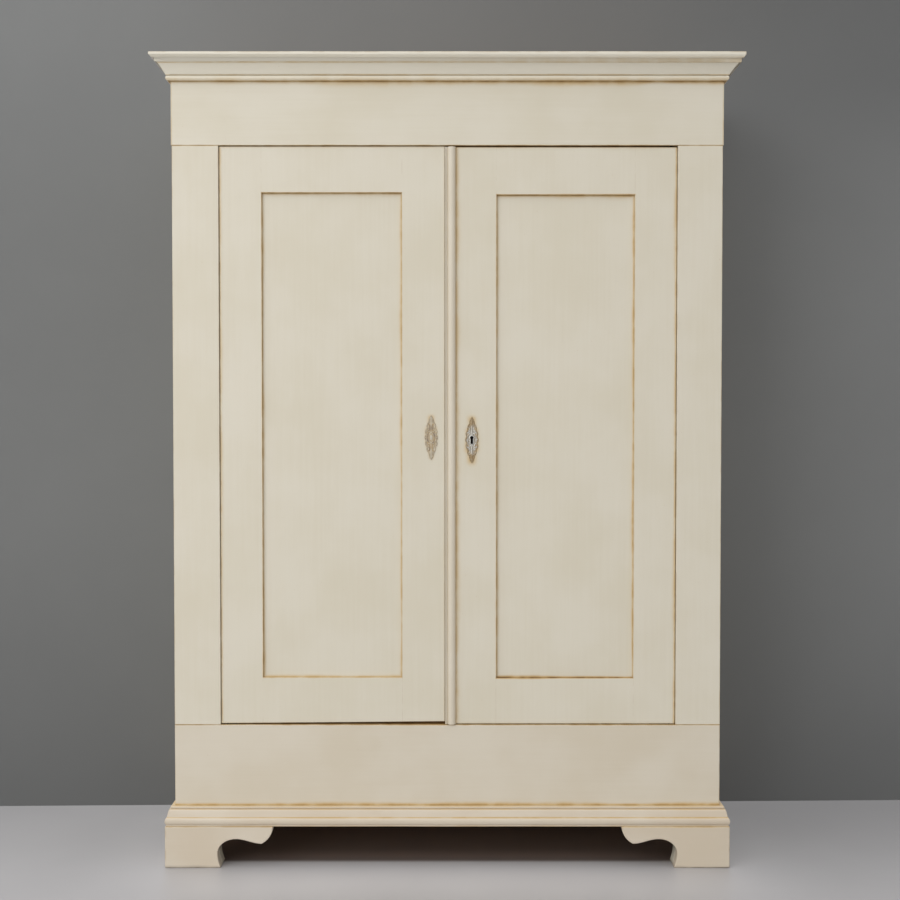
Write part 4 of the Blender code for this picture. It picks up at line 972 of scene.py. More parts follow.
def round_edge(made, edge_x, pivot):
    """Bulge a door's hinge edge to a curve round its pins."""
    half = math.sqrt(EDGE_RADIUS ** 2 - (edge_x - pivot.x) ** 2)
    out = math.copysign(1, edge_x - pivot.x)
    slice_solid(made, "Y", [pivot.y + half * math.cos(math.pi * step / EDGE_STEPS)
                            for step in range(EDGE_STEPS + 1)])
    for vertex in made.verts:
        if abs(vertex.co.x - edge_x) < EASED and abs(vertex.co.y - pivot.y) < half:
            reach = math.sqrt(EDGE_RADIUS ** 2 - (vertex.co.y - pivot.y) ** 2)
            vertex.co.x += out * (reach - abs(edge_x - pivot.x))


print("door helpers ready")

# %% [markdown]
# The boards of both doors are now taken one by one. A stile has one joint at each rail, and a rail
# has one at each end. The middle of the pins lies 12 mm in from the hinge edge and 7 mm behind the
# front face.

# %% Make the door frames
PIVOT_INSET = 0.012
PIVOT_DEPTH = 0.007

for door, sizes in DOORS.items():
    low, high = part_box(f"{door}_hinge_stile")
    faces = (low.y, high.y)
    left, right, bottom, top = sizes["opening"]
    rails = {"bottom_rail": (limits(f"{door}_bottom_rail")[2], bottom),
             "top_rail": (top, limits(f"{door}_top_rail")[3])}
    joints = {"hinge_stile": left, "meeting_stile": right}
    if door == "right_door":
        joints = {"hinge_stile": right, "meeting_stile": left}
    hinge_x = sizes["outline"][0 if door == "left_door" else 1]
    pivot = Vector((hinge_x + math.copysign(PIVOT_INSET, -hinge_x), low.y + PIVOT_DEPTH, 0))
    for part in FRAME_PARTS:
        node = f"{door}_{part}"
        made = copy_solid(node)
        if part in joints:
            for low_z, high_z in rails.values():
                slice_solid(made, "Z", [low_z, low_z + ARRIS, high_z - ARRIS, high_z])
                close_joint(made, joints[part], low_z, high_z, faces)
            if part == "hinge_stile":
                round_edge(made, hinge_x, pivot)
        else:
            for x in joints.values():
                close_joint(made, x, *rails[part], faces)
        add_piece(f"{node}_painted", made, door_materials[node], door, "cream_paint", node)
    print(door, "pivot", tuple(round(v, 4) for v in pivot[:2]))

# %% [markdown]
# ### Mouldings
# The cornice and the base were planed by hand, so their lines are never quite straight. The
# solids have the right pieces and mitres, and the photograph gives the finer shape: a cove that is
# almost straight, a fillet that stands a little higher on the left, and an undercut nose. So each
# point of a copy keeps its place along the length and gets a new reach and rise. The reach is how
# far it stands out from the board behind, and the rise is its height above the moulding's foot.

# %% Reshape the cornice
COVE_FOOT, COVE_HEAD, NOSE_FOOT, NOSE_TOP = 0.013, 0.037, 0.047, 0.061
BACK_REACH, NOSE_FROM = 0.01, 0.02
COVE_START, COVE_LIP = 0.0118, 0.033
COVE_HOLLOW = 0.0008
FILLET_REACHES = (0.0345, 0.0368)
FILLET_STEP = 0.0055
FILLET_LIFTS = (0.0036, 0.0006)
NOSE_LIFT_SHARE = 0.6
NOSE_REACH = 0.0462
NOSE_STEP = 0.005
NOSE_SLOPE = 0.0065
NOSE_EASED, NOSE_EDGE = 0.0012, 0.0005


def reshape_cornice(reach, rise, share):
    """New reach and rise of a point of the cornice. The share runs from left to right."""
    lift = FILLET_LIFTS[0] + (FILLET_LIFTS[1] - FILLET_LIFTS[0]) * share
    fillet = FILLET_REACHES[0] + (FILLET_REACHES[1] - FILLET_REACHES[0]) * share
    if reach > BACK_REACH and COVE_FOOT <= rise + SAME_POINT and rise <= COVE_HEAD + SAME_POINT:
        run = min((rise - COVE_FOOT) / (COVE_HEAD - COVE_FOOT), 1)
        sunk = COVE_HOLLOW * math.sin(math.pi * run)
        if reach > COVE_LIP:
            reach = fillet
        else:
            reach = COVE_START + (fillet - FILLET_STEP - COVE_START) * run - sunk
    elif reach > NOSE_FROM and rise < NOSE_FOOT + SAME_POINT:
        reach = fillet
    elif reach > NOSE_FROM:
        full = min((rise - NOSE_FOOT) / NOSE_SLOPE, 1)
        reach = fillet + NOSE_STEP + (NOSE_REACH - fillet - NOSE_STEP) * full
        reach -= NOSE_EASED if rise > NOSE_TOP - NOSE_EDGE else 0
    rise = np.interp(rise, (0, COVE_FOOT, COVE_HEAD, NOSE_FOOT, NOSE_TOP),
                     (0, COVE_FOOT, COVE_HEAD + lift, NOSE_FOOT + NOSE_LIFT_SHARE * lift, NOSE_TOP))
    return reach, float(rise)


print("cornice shape:", [round(v, 4) for v in reshape_cornice(NOSE_REACH, NOSE_TOP, 0)])

# %% [markdown]
# The base needs less: its lines only sit a little lower. The same cell carries a shape from the
# front to a side length, because both come from one run of moulding, cut and mitred.

# %% Reshape the base, and any length of moulding
BASE_HEIGHTS = (0, 0.0235, 0.0418, 0.048)
BASE_LOWERED = (0, 0.0213, 0.0399, 0.0466)


def reshape_base(reach, rise, _share):
    """New reach and rise of a point of the base moulding, whose lines sit a little lower."""
    return reach, float(np.interp(rise, BASE_HEIGHTS, BASE_LOWERED))


def reshape(made, foot, face, new_place):
    """Move every corner of a length of moulding to its new reach and rise."""
    for vertex in made.verts:
        beyond_side, beyond_front = abs(vertex.co.x) - X_RIGHT, face - vertex.co.y
        on_side, on_front = beyond_side > SAME_POINT, beyond_front > SAME_POINT
        share = min(max((vertex.co.x - X_LEFT) / (X_RIGHT - X_LEFT), 0), 1)
        reach = max(beyond_side, beyond_front)
        wanted, rise = new_place(reach, vertex.co.z - foot, share)
        if on_front:
            vertex.co.y -= wanted - reach
        if on_side:
            vertex.co.x += (wanted - reach) * math.copysign(1, vertex.co.x)
        vertex.co.z = foot + rise


print("moulding shapes ready")

# %% [markdown]
# The glaze lies at the heights where one shape meets the next. Each line is a start and an end
# above the foot, a reach, and a strength. The cornice's cream is painted paler, as painted light
# on its shaded underside, while the base has a film of grime. The coves at the sides get no light,
# so painted shade darkens them. Cuts every few centimetres let a length rise and fall by less than
# half a millimetre.

# %% Make the mouldings
SLICE_EVERY = 0.045
MITRE_CLEAR = 0.06
WANDER = 0.0005
WANDER_PER_METRE = 7
CORNICE_LINES = ((0.0, 0.0, 0.003, 0.75), (0.0135, 0.0135, 0.003, 0.45),
                 (0.0, 0.006, 0.004, 0.25), (0.0378, 0.0402, 0.0015, 0.3),
                 (0.041, 0.0465, 0.0025, (0.0, 0.28)), (0.0485, 0.0485, 0.003, (0.0, 0.25)),
                 (0.061, 0.061, 0.0025, 0.3))
BASE_LINES = ((0.0, 0.0, 0.006, 0.35), (0.0213, 0.0213, 0.0035, 0.62),
              (0.0399, 0.0399, 0.0025, 0.4), (0.0466, 0.0466, 0.003, 0.4))
# Painted shade in the coves of the cornice's side lengths.
SIDE_COVE_SHADE = ((0.018, 0.05, 0.012, 0.38),)
# The cornice takes a share of paler cream as painted light.
MOULDINGS = {
    "cornice": {"foot": Z_CORNICE, "shape": reshape_cornice, "lines": CORNICE_LINES,
                "side_cove_shade": SIDE_COVE_SHADE, "grime": 0.0, "painted_light": 0.45},
    "base_moulding": {"foot": Z_FEET, "shape": reshape_base, "lines": BASE_LINES,
                      "side_cove_shade": (), "grime": 0.3, "painted_light": 0.0},
}
MOULDING_SEED = 20.0
MOULDING_WEAR = 0.004


def waver(made, box):
    """Let a length of moulding rise and fall a little, inside its own box."""
    low, high = box
    axis = "X" if high.x - low.x > high.y - low.y else "Y"
    start, end = (low.x, high.x) if axis == "X" else (low.y, high.y)
    places = np.arange(start + SLICE_EVERY, end - MITRE_CLEAR, SLICE_EVERY)
    slice_solid(made, axis, places.tolist())
    for vertex in made.verts:
        rise = WANDER * noise.noise(vertex.co * WANDER_PER_METRE)
        vertex.co.z = min(max(vertex.co.z + rise, low.z), high.z)


def bands(foot, lines):
    """Joints that run round the body, from lines that are measured above a foot."""
    return [((-FAR, -FAR, foot + start), (FAR, FAR, foot + end), reach, strength)
            for start, end, reach, strength in lines]


for name, plan in MOULDINGS.items():
    for number, part in enumerate(("front", "left", "right")):
        node = f"{name}_{part}"
        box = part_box(node)
        made = copy_solid(node)
        reshape(made, plan["foot"], Y_FRONT, plan["shape"])
        waver(made, box)
        paint = board_material(f"paint_{node}", box, "X" if part == "front" else "Y",
                               bands(plan["foot"], plan["lines"]), seed=MOULDING_SEED + number,
                               wear=MOULDING_WEAR, grime=plan["grime"], painted_light=plan["painted_light"],
                               dirt_and_shade=bands(plan["foot"], plan["side_cove_shade"])
                               if part != "front" else ())
        add_piece(f"{node}_planed", made, paint, CARCASE, "cream_paint", node)
print("mouldings:", 3 * len(MOULDINGS))

# %% [markdown]
# ### Cover strip
# The strip on the right door hides the gap between the doors. Its round bead was planed lower than
# the solid's, and thinner, so the copy is pressed toward the door and drawn in. The line of its
# free edge wanders a little along its length.

# %% Make the cover strip
STRIP_NARROWER = 0.0026
STRIP_LOWER = 0.26
STRIP_SLICE = 0.06
STRIP_END_CLEAR = 0.03
STRIP_WAVES = 5
BEAD_AT = 0.006
STRIP_LINES = ((0.003, 0.25), (0.0022, 0.2), (0.005, 0.4))
STRIP_FINISH = {"seed": 31.0, "wear": 0.001, "grime": 0.12}

made = copy_solid("cover_strip")
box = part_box("cover_strip")
bead = STRIP_LEFT + BEAD_AT
places = np.arange(box[0].z + STRIP_SLICE, box[1].z - STRIP_END_CLEAR, STRIP_SLICE)
slice_solid(made, "Z", places.tolist())
for vertex in made.verts:
    if vertex.co.x > bead:
        vertex.co.y += STRIP_LOWER * (box[1].y - vertex.co.y)
        share = (vertex.co.x - bead) / (STRIP_RIGHT - bead)
        aside = 2 * WANDER * noise.noise(Vector((0, 0, vertex.co.z * STRIP_WAVES)))
        vertex.co.x -= share * (STRIP_NARROWER + aside)
edges = (STRIP_LEFT, bead, STRIP_RIGHT - STRIP_NARROWER)
seams = [upright(x, 0, FAR, *line) for x, line in zip(edges, STRIP_LINES)]
add_piece("cover_strip_planed", made,
          board_material("paint_cover_strip", box, "Z", seams, **STRIP_FINISH),
          "right_door", "cream_paint", "cover_strip")
print("cover strip:", round(STRIP_RIGHT - STRIP_NARROWER - STRIP_LEFT, 4), "m wide")

# %% [markdown]
# ### Feet
# The brackets were sawn to a curve and their edges knocked off. A dark line runs along the foot of
# each one, partly dirt from the floor and partly painted contact shadow, and the blocks glued
# behind the front brackets are darkened with painted shade, as they stand in shadow. The bracket's
# outer face and its sawn edge are painted, and its inner face isn't.

# %% Make the feet
FOOT_LINE = (0.005, 0.6)
FOOT_DIRT_AND_SHADOW = (0.009, (0.8, 1.0))
# Painted shade on the glue blocks, which stand in shadow behind the brackets.
BLOCK_SHADE = ((0.042, Z_FEET, 0.02, 0.55),)
FOOT_WEAR = 0.003
FOOT_GRIME = 0.25
FOOT_SEED, BLOCK_SEED = 40.0, 50.0

foot_seams = [level(Z_FEET, *FOOT_LINE)]
foot_dirt_and_shadow = [level(0.0, *FOOT_DIRT_AND_SHADOW)]
for side, inward in (("left", RIGHTWARD), ("right", LEFTWARD)):
    for part, along, bare in (("foot_front", "X", BEHIND), ("foot_side_front", "Y", inward),
                              ("foot_side_rear", "Y", inward)):
        node = f"{part}_{side}"
        low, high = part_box(node)
        paint = board_material(f"paint_{node}", (low, high), along, foot_seams, bare=bare,
                               wear=FOOT_WEAR, seed=FOOT_SEED + low.x + low.y,
                               grime=FOOT_GRIME, dirt_and_shade=foot_dirt_and_shadow)
        add_piece(f"{node}_sawn", copy_solid(node), paint, CARCASE, "cream_paint", node)
    node = f"foot_block_front_{side}"
    dress(node, board_material(f"finish_{node}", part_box(node), "Z", only=inward,
                               seed=BLOCK_SEED + inward[0],
                               dirt_and_shade=foot_dirt_and_shadow + bands(0.0, BLOCK_SHADE)))
print("feet: 6 brackets, 2 blocks")

# %% [markdown]
# ### Escutcheons
# Each plate was pressed from thin brass over a steel die, which raised a rim, a rope round each
# hole, a pair of scrolls, and a small boss in every lobe. We cut the face of the solid into a fine
# grid and sink each point by a height that comes from its distance to those lines. The height is
# kept on the mesh, because the finish needs it too: dirt stays in the hollows.

# %% Helpers for the relief
ON_FACE = 1e-6
TOWARD_FRONT = -0.9
TINY = 1e-12


def distance_to(points, starts, ends):
    """Shortest distance from each point to any of the straight pieces of a line."""
    run = ends - starts
    along = ((points[:, None] - starts) * run).sum(2) / np.maximum((run ** 2).sum(1), TINY)
    nearest = starts + np.clip(along, 0, 1)[..., None] * run
    return np.sqrt(((points[:, None] - nearest) ** 2).sum(2)).min(1)


def outlines(made, face_y):
    """Closed outlines of the front face of a plate, longest first, as starts and ends."""
    rim = {edge for edge in made.edges
           if all(abs(vertex.co.y - face_y) < ON_FACE for vertex in edge.verts)
           and sum(face.normal.y < TOWARD_FRONT for face in edge.link_faces) == 1}
    found = []
    while rim:
        loop, waiting = [], [rim.pop()]
        while waiting:
            edge = waiting.pop()
            loop.append([(vertex.co.x, vertex.co.z) for vertex in edge.verts])
            for vertex in edge.verts:
                for other in vertex.link_edges:
                    if other in rim:
                        rim.discard(other)
                        waiting.append(other)
        found.append(np.array(loop))
    return sorted(found, key=lambda loop: np.ptp(loop[:, :, 1]), reverse=True)


def ridge(distance, middle, half):
    """Rounded ridge whose top lies at a distance from a line."""
    return np.clip(1 - ((distance - middle) / half) ** 2, 0, None)


def dome(distance, reach):
    """Round boss, one at the middle and nought at its reach."""
    return np.sqrt(np.clip(1 - (distance / reach) ** 2, 0, None))


print("relief helpers ready")

# %% [markdown]
# The pattern is drawn once, for the right half of a plate, and folded over. A scroll is a spiral
# that winds in from its middle: the place of that middle, the angles in degrees at which it starts
# and ends, and its size. Upside down, the same list makes the other end of the plate.

# %% Draw the pattern
SCROLLS = (((0.0075, 0.0205), (-90, 340), 0.0042), ((0.0042, 0.0365), (100, -260), 0.0032))
SCROLL_STEPS = 26
SCROLL_SHRINK = 0.8
TENDRIL = ((0.0004, 0.0125), (0.0048, 0.0155), (0.0098, 0.0115), (0.0112, 0.005), (0.0105, 0.0))
STEM_FOOT, STEM_END = 0.014, 0.006


def scroll(centre, turn, size):
    """Spiral that winds in round a centre, as a chain of points."""
    points = []
    for step in range(SCROLL_STEPS + 1):
        share = step / SCROLL_STEPS
        angle = math.radians(turn[0] + (turn[1] - turn[0]) * share)
        radius = size * (1 - SCROLL_SHRINK * share)
        points.append((centre[0] + radius * math.cos(angle), centre[1] + radius * math.sin(angle)))
    return points


def pattern_lines(half_length, way):
    """Raised lines of the upper end of a plate, or with way -1 of its lower end."""
    drawn = [scroll((x, way * z), (way * start, way * end), size)
             for (x, z), (start, end), size in SCROLLS]
    drawn.append([(x, way * z) for x, z in TENDRIL])
    drawn.append([(0.0, way * STEM_FOOT), (0.0, way * (half_length - STEM_END))])
    return [np.array(line) for line in drawn]


print("pattern lines per end:", len(pattern_lines(STEM_FOOT + STEM_END, 1)))

# %% [markdown]
# Every line of the pattern is a low ridge, and every boss is a dome. Where two of them meet, the
# higher one counts, as in a pressed sheet, so the relief is the highest of all ridges at a point.

# %% Raise the relief
RIM_HALF = 0.0009
LINE_HALF, LINE_HEIGHT = 0.0009, 0.85
KEY_ROPE = (0.0013, 0.0013)
HOLE_ROPE, HOLE_HEIGHT = (0.0006, 0.0007), 0.8
BOSS_HALF_WIDTH, BOSS_HALF_HEIGHT, BOSS_RISE = 0.0042, 0.0085, 0.95
BOSS_RING, BOSS_RING_HEIGHT = (1.35, 0.2), 0.8
LEAF_FOOT, LEAF_WIDTH, LEAF_BEND = 0.026, 0.0036, 0.7
LEAF_RISE, LEAF_FALL = 0.75, 0.3
LOBES, LOBE_ASIDE, LOBE_BEND = 7, 0.0136, 0.85
LOBE_REACH, LOBE_RISE = 0.0016, 0.9


def plate_relief(points, loops, centre, half_length, has_key):
    """Height of the pressed pattern at each point, from 0 in the ground to 1 on top."""
    across, up = np.abs(points[:, 0] - centre[0]), points[:, 1] - centre[1]
    folded = np.stack([across, up], 1)
    raised = [ridge(distance_to(points, loops[0][:, 0], loops[0][:, 1]), RIM_HALF, RIM_HALF)]
    for number, loop in enumerate(loops[1:]):
        hole = distance_to(points, loop[:, 0], loop[:, 1])
        is_key = has_key and number == 0
        raised.append(ridge(hole, *KEY_ROPE) if is_key else HOLE_HEIGHT * ridge(hole, *HOLE_ROPE))
    if not has_key:
        oval = np.hypot(across / BOSS_HALF_WIDTH, up / BOSS_HALF_HEIGHT)
        raised += [BOSS_RISE * dome(oval, 1), BOSS_RING_HEIGHT * ridge(oval, *BOSS_RING)]
    for way in (-1, 1):
        for line in pattern_lines(half_length, way):
            gap = distance_to(folded, line[:-1], line[1:])
            raised.append(LINE_HEIGHT * ridge(gap, 0, LINE_HALF))
        leaf = np.clip((way * up - LEAF_FOOT) / (half_length - LEAF_FOOT), 0, 1)
        blade = LEAF_WIDTH * np.sin(np.pi * leaf) ** LEAF_BEND
        raised.append(np.where(across < blade, LEAF_RISE - LEAF_FALL * across / LEAF_WIDTH, 0))
    for share in (2 * np.arange(LOBES) + 1) / LOBES - 1:
        away = np.hypot(across - LOBE_ASIDE * np.cos(np.pi / 2 * share) ** LOBE_BEND,
                        up - share * half_length)
        raised.append(LOBE_RISE * dome(away, LOBE_REACH))
    return np.clip(np.max(raised, axis=0), 0, 1)


print("pattern ready")

# %% [markdown]
# Both plates are pressed alike, and only the right one has a hole for the key. How far a point is
# from that hole is kept too, because painted shade round it makes the dark of the keyhole wider.

# %% Press the plates
RELIEF_DEPTH = 0.0011
GRID_STEP = 0.0009
AWAY_FROM_KEY = 0.01


def cut_grid(made, low, high):
    """Cut the front face of a plate into a fine grid."""
    for axis, start, end in (("X", low.x, high.x), ("Z", low.z, high.z)):
        normal = axis_vector(axis)
        for place in np.arange(start + GRID_STEP / 2, end, GRID_STEP).tolist():
            front = {face for face in made.faces if face.normal.y < TOWARD_FRONT}
            edges = {edge for face in front for edge in face.edges}
            corners = {vertex for face in front for vertex in face.verts}
            bmesh.ops.bisect_plane(made, geom=[*corners, *edges, *front], dist=ON_CUT,
                                   plane_co=normal * place, plane_no=normal)


def press_plate(node):
    """Escutcheon with its relief, as an open mesh, and the height of its middle."""
    made = copy_solid(node)
    low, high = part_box(node)
    loops = outlines(made, low.y)
    cut_grid(made, low, high)
    has_key = node.endswith("right")
    relief = made.verts.layers.float.new("relief")
    from_rim = made.verts.layers.float.new("from_rim")
    from_key = made.verts.layers.float.new("from_key")
    for vertex in made.verts:
        vertex[from_key] = AWAY_FROM_KEY
    front = [vertex for vertex in made.verts if abs(vertex.co.y - low.y) < ON_FACE]
    points = np.array([(vertex.co.x, vertex.co.z) for vertex in front])
    centre = ((low.x + high.x) / 2, (low.z + high.z) / 2)
    heights = plate_relief(points, loops, centre, (high.z - low.z) / 2, has_key)
    rims, keys = (distance_to(points, loop[:, 0], loop[:, 1]) for loop in loops[:2])
    for vertex, height, rim, key in zip(front, heights.tolist(), rims.tolist(), keys.tolist()):
        vertex[relief] = height
        vertex[from_rim] = rim
        if has_key:
            vertex[from_key] = key
        vertex.co.y += (1 - height) * RELIEF_DEPTH
    print(node, "points:", len(front), "outlines:", len(loops))
    return made, centre[1]


plates = {side: press_plate(f"escutcheon_{side}") for side in ("right", "left")}

# %% [markdown]
# The right plate shows bare metal, greyed by age. It is browner toward its two points and its rim,
# and black round the hole, where painted shade makes the dark of the keyhole wider. The left one
# was painted over with the door, so it takes the same cream, with glaze in its hollows and worn
# metal showing through.

# %% Finish the right escutcheon
PLATE_SMOOTH = math.radians(50)
METAL_PALE = srgb(216, 216, 210)
METAL_DULL = srgb(134, 118, 90)
METAL_BROWN = srgb(148, 120, 72)
KEYHOLE_SHADE_COLOUR = srgb(34, 30, 26)
SPOT_SCALE = 320.0
DULL_RANGE, DULL_SHARES = (0.25, 0.7), (0.35, 0.85)
POINTS_BROWN, POINTS_WANDER, POINTS_SCALE = (0.03, 0.046), 0.012, 160.0
RIM_BROWN, RIM_WANDER, RIM_SCALE = (0.0062, 0.0028), 0.003, 200.0
BROWN_RANGE, BROWN_SHARES = (0.2, 0.6), (0.55, 0.9)
KEYHOLE_SHADE_REACH, KEYHOLE_SHADE_SHARE = (0.0014, 0.0004), 0.92
METAL_ROUGHNESS = (0.34, 0.5)
METALLIC = 0.55


def kept_value(tree, name):
    """Value that is kept on the mesh at every point."""
    return put(tree, "ShaderNodeAttribute", attribute_name=name).outputs["Fac"]


def hollows(tree):
    """One in the ground of the relief and nought on top of it."""
    return calc(tree, "SUBTRACT", 1.0, kept_value(tree, "relief"), clamp=True)


plate, plate_middle = plates["right"]
metal, tree, shader = new_material("greyed_brass")
place = put(tree, "ShaderNodeTexCoord").outputs["Object"]
ends = calc(tree, "ABSOLUTE", calc(tree, "SUBTRACT", split(tree, place)["Z"], plate_middle))
ends = calc(tree, "ADD", ends, times(tree, cloud(tree, place, POINTS_SCALE), POINTS_WANDER))
rim = calc(tree, "ADD", kept_value(tree, "from_rim"),
           times(tree, cloud(tree, place, RIM_SCALE), RIM_WANDER))
spots = cloud(tree, place, SPOT_SCALE, 4.0)
dull = times(tree, hollows(tree), fade(tree, spots, *DULL_RANGE, *DULL_SHARES))
browned = calc(tree, "MAXIMUM", fade(tree, ends, *POINTS_BROWN), fade(tree, rim, *RIM_BROWN))
browned = times(tree, browned, fade(tree, spots, *BROWN_RANGE, *BROWN_SHARES))
# Painted shade round the keyhole, which makes its dark look wider.
keyhole_shade = fade(tree, kept_value(tree, "from_key"), *KEYHOLE_SHADE_REACH, 0.0, KEYHOLE_SHADE_SHARE)
colour = blend_colours(tree, dull, METAL_PALE, METAL_DULL)
colour = blend_colours(tree, browned, colour, METAL_BROWN)
colour = blend_colours(tree, keyhole_shade, colour, KEYHOLE_SHADE_COLOUR)
tree.links.new(colour, shader.inputs["Base Color"])
tree.links.new(fade(tree, spots, *NOISE_RANGE, *METAL_ROUGHNESS), shader.inputs["Roughness"])
shader.inputs["Metallic"].default_value = METALLIC
add_piece("escutcheon_right_pressed", plate, metal, "right_door", "tarnished_brass",
          "escutcheon_right", smooth_up_to=PLATE_SMOOTH)
print("right plate: bare metal")

# %% [markdown]
# The left plate was never used for a key. It got the same coat of paint as the door, which still
# fills its hollows and only lets a little metal through on the high lines.

# %% Finish the left escutcheon
METAL_WORN = srgb(156, 152, 142)
COAT_SCALE = 90.0
HELD_SHARES = (0.5, 1.0)
RIM_HELD, RIM_HELD_SHARE = (0.0016, 0.0), 0.8
THROUGH_RANGE, THROUGH_SHARES = (0.35, 0.65), (0.3, 0.55)
COAT_SEED = 60.0

plate, _ = plates["left"]
covered, tree, shader = new_material("painted_brass")
place = put(tree, "ShaderNodeTexCoord").outputs["Object"]
patches = cloud(tree, place, COAT_SCALE, 3.0)
held = times(tree, hollows(tree), fade(tree, patches, *PATCH_RANGE, *HELD_SHARES))
held = calc(tree, "MAXIMUM", held,
            fade(tree, kept_value(tree, "from_rim"), *RIM_HELD, 0.0, RIM_HELD_SHARE))
paint = use_group(tree, "brushed_paint", {"Along": place, "Seed": COAT_SEED, "Glaze": held})
through = fade(tree, patches, *THROUGH_RANGE, *THROUGH_SHARES)
tree.links.new(blend_colours(tree, through, paint["Color"], METAL_WORN),
               shader.inputs["Base Color"])
tree.links.new(paint["Roughness"], shader.inputs["Roughness"])
add_piece("escutcheon_left_pressed", plate, covered, "left_door", "tarnished_brass",
          "escutcheon_left", smooth_up_to=PLATE_SMOOTH)
print("left plate: painted over")

# %% [markdown]
# ### Iron parts
# A smith filed the edges of these parts by hand, so none of them is sharp. We bevel the edges of
# each copy by a few tenths of a millimetre. They catch the light and carry the bright wear.

# %% Make the iron parts
FILED = 0.0005
SHARP_ABOVE = math.radians(40)
IRON_SMOOTH = math.radians(35)
IRON_WEAR = 0.0016
IRON_PATCH_SCALE = 60.0
IRON_BUMP = {"Strength": 0.3, "Distance": 0.0003}
IRON_METALLIC = 0.8
IRON_SEED_STEP = 3.0
IRON_BODIES = {"lock_case": "right_door", "lock_bolt": "lock_bolt", "lock_keeper": "left_door",
               "left_door_top_bolt": "left_door_top_bolt",
               "left_door_bottom_bolt": "left_door_bottom_bolt",
               "left_door_top_bolt_plate": "left_door",
               "left_door_bottom_bolt_plate": "left_door"}
IRON_BODIES.update({f"{door}_{end}_pin": door for door in DOORS for end in ("top", "bottom")})


def iron_material(name, box, seed):
    """Old iron with the edges of its box handled bright."""
    made, tree, shader = new_material(name)
    place = put(tree, "ShaderNodeTexCoord").outputs["Object"]
    patches = cloud(tree, place, IRON_PATCH_SCALE, 3.0)
    worn = use_group(tree, "worn_edges", {"Position": place, "Low": box[0], "High": box[1],
                                          "Width": IRON_WEAR, "Patches": patches})["Wear"]
    moved = calc_vector(tree, "ADD", place, Vector((seed, 0, 0)))
    finish = use_group(tree, "old_iron", {"Position": moved, "Wear": worn})
    tree.links.new(finish["Color"], shader.inputs["Base Color"])
    tree.links.new(finish["Roughness"], shader.inputs["Roughness"])
    bump = put(tree, "ShaderNodeBump", {**IRON_BUMP, "Height": finish["Height"]})
    tree.links.new(bump.outputs[0], shader.inputs["Normal"])
    shader.inputs["Metallic"].default_value = IRON_METALLIC
    return made


for number, (node, body) in enumerate(IRON_BODIES.items()):
    made = copy_solid(node)
    edges = [edge for edge in made.edges
             if edge.is_manifold and edge.calc_face_angle() > SHARP_ABOVE]
    bmesh.ops.bevel(made, geom=edges, offset=FILED, segments=2, affect="EDGES",
                    clamp_overlap=True)
    iron = iron_material(f"iron_{node}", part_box(node), IRON_SEED_STEP * number)
    add_piece(f"{node}_filed", made, iron, body, "dark_iron", node, smooth_up_to=IRON_SMOOTH)
print("iron parts:", len(IRON_BODIES))

# %% [markdown]
# ### Screws and nails
# The ironwork is held by slotted screws, and the back boards by forged nails. Such small things
# repeat, so they suit Geometry Nodes: one head is placed on every point of a list, each turned by
# a seeded random angle, and the result is kept as a plain mesh.

# %% Helpers for small turned shapes
def ring_of(made, points, height):
    """Closed ring of corners at a height."""
    return [made.verts.new((x, y, height)) for x, y in points]


def drawn_solid(made, rings):
    """Skin over stacked rings, closed at both ends."""
    for lower, upper in zip(rings, rings[1:]):
        for number in range(len(lower)):
            after = (number + 1) % len(lower)
            made.faces.new((lower[number], lower[after], upper[after], upper[number]))
    made.faces.new(list(reversed(rings[0])))
    made.faces.new(rings[-1])


def arc_points(radius, sides, start, end):
    """Points on a part of a circle, from one angle in degrees to another."""
    angles = [math.radians(start + (end - start) * step / sides) for step in range(sides + 1)]
    return [(radius * math.cos(angle), radius * math.sin(angle)) for angle in angles]


print("shape helpers ready")

# %% [markdown]
# A screw head is a low dome with a straight slot, and a nail head is a flat pad with uneven sides
# from the hammer. Both are made once, at the origin.

# %% Make the two heads
SCREW_RADIUS = 0.0026
SCREW_PROUD = 0.0007
SCREW_SUNK = 0.0002
SCREW_SIDES = 18
SLOT_HALF = 0.00035
SLOT_FLOOR = 0.4
HALF_RINGS = ((1.0, 0.3), (1.0, 0.7), (0.86, 1.0))
NAIL_HALVES = (0.0031, 0.0027)
NAIL_ANGLES = (0, 50, 125, 190, 270)
NAIL_RINGS = ((1.0, -0.0003), (0.95, 0.0002), (0.4, 0.0009))


def screw_head():
    """Low round head whose slot separates two halves."""
    made = bmesh.new()
    disc = arc_points(SCREW_RADIUS, SCREW_SIDES, 0.0, 360.0)[:-1]
    drawn_solid(made, [ring_of(made, disc, -SCREW_SUNK),
                       ring_of(made, disc, SCREW_PROUD * SLOT_FLOOR)])
    for side in (-1, 1):
        rings = []
        for width, height in HALF_RINGS:
            radius = SCREW_RADIUS * width
            cut = math.degrees(math.asin(SLOT_HALF / radius))
            half = arc_points(radius, SCREW_SIDES // 2, cut, 180 - cut)
            rings.append(ring_of(made, [(side * x, side * y) for x, y in half],
                                 SCREW_PROUD * height))
        drawn_solid(made, rings)
    return made


def nail_head():
    """Forged head with five uneven facets."""
    made = bmesh.new()
    foot = [(NAIL_HALVES[0] * math.cos(angle), NAIL_HALVES[1] * math.sin(angle))
            for angle in np.radians(NAIL_ANGLES)]
    drawn_solid(made, [ring_of(made, [(x * width, y * width) for x, y in foot], height)
                       for width, height in NAIL_RINGS])
    return made


def head_object(name, made):
    """Object that holds a head, used only while it is placed."""
    mesh = bpy.data.meshes.new(name)
    bmesh.ops.recalc_face_normals(made, faces=made.faces)
    made.to_mesh(mesh)
    made.free()
    holder = bpy.data.objects.new(name, mesh)
    bpy.context.scene.collection.objects.link(holder)
    return holder


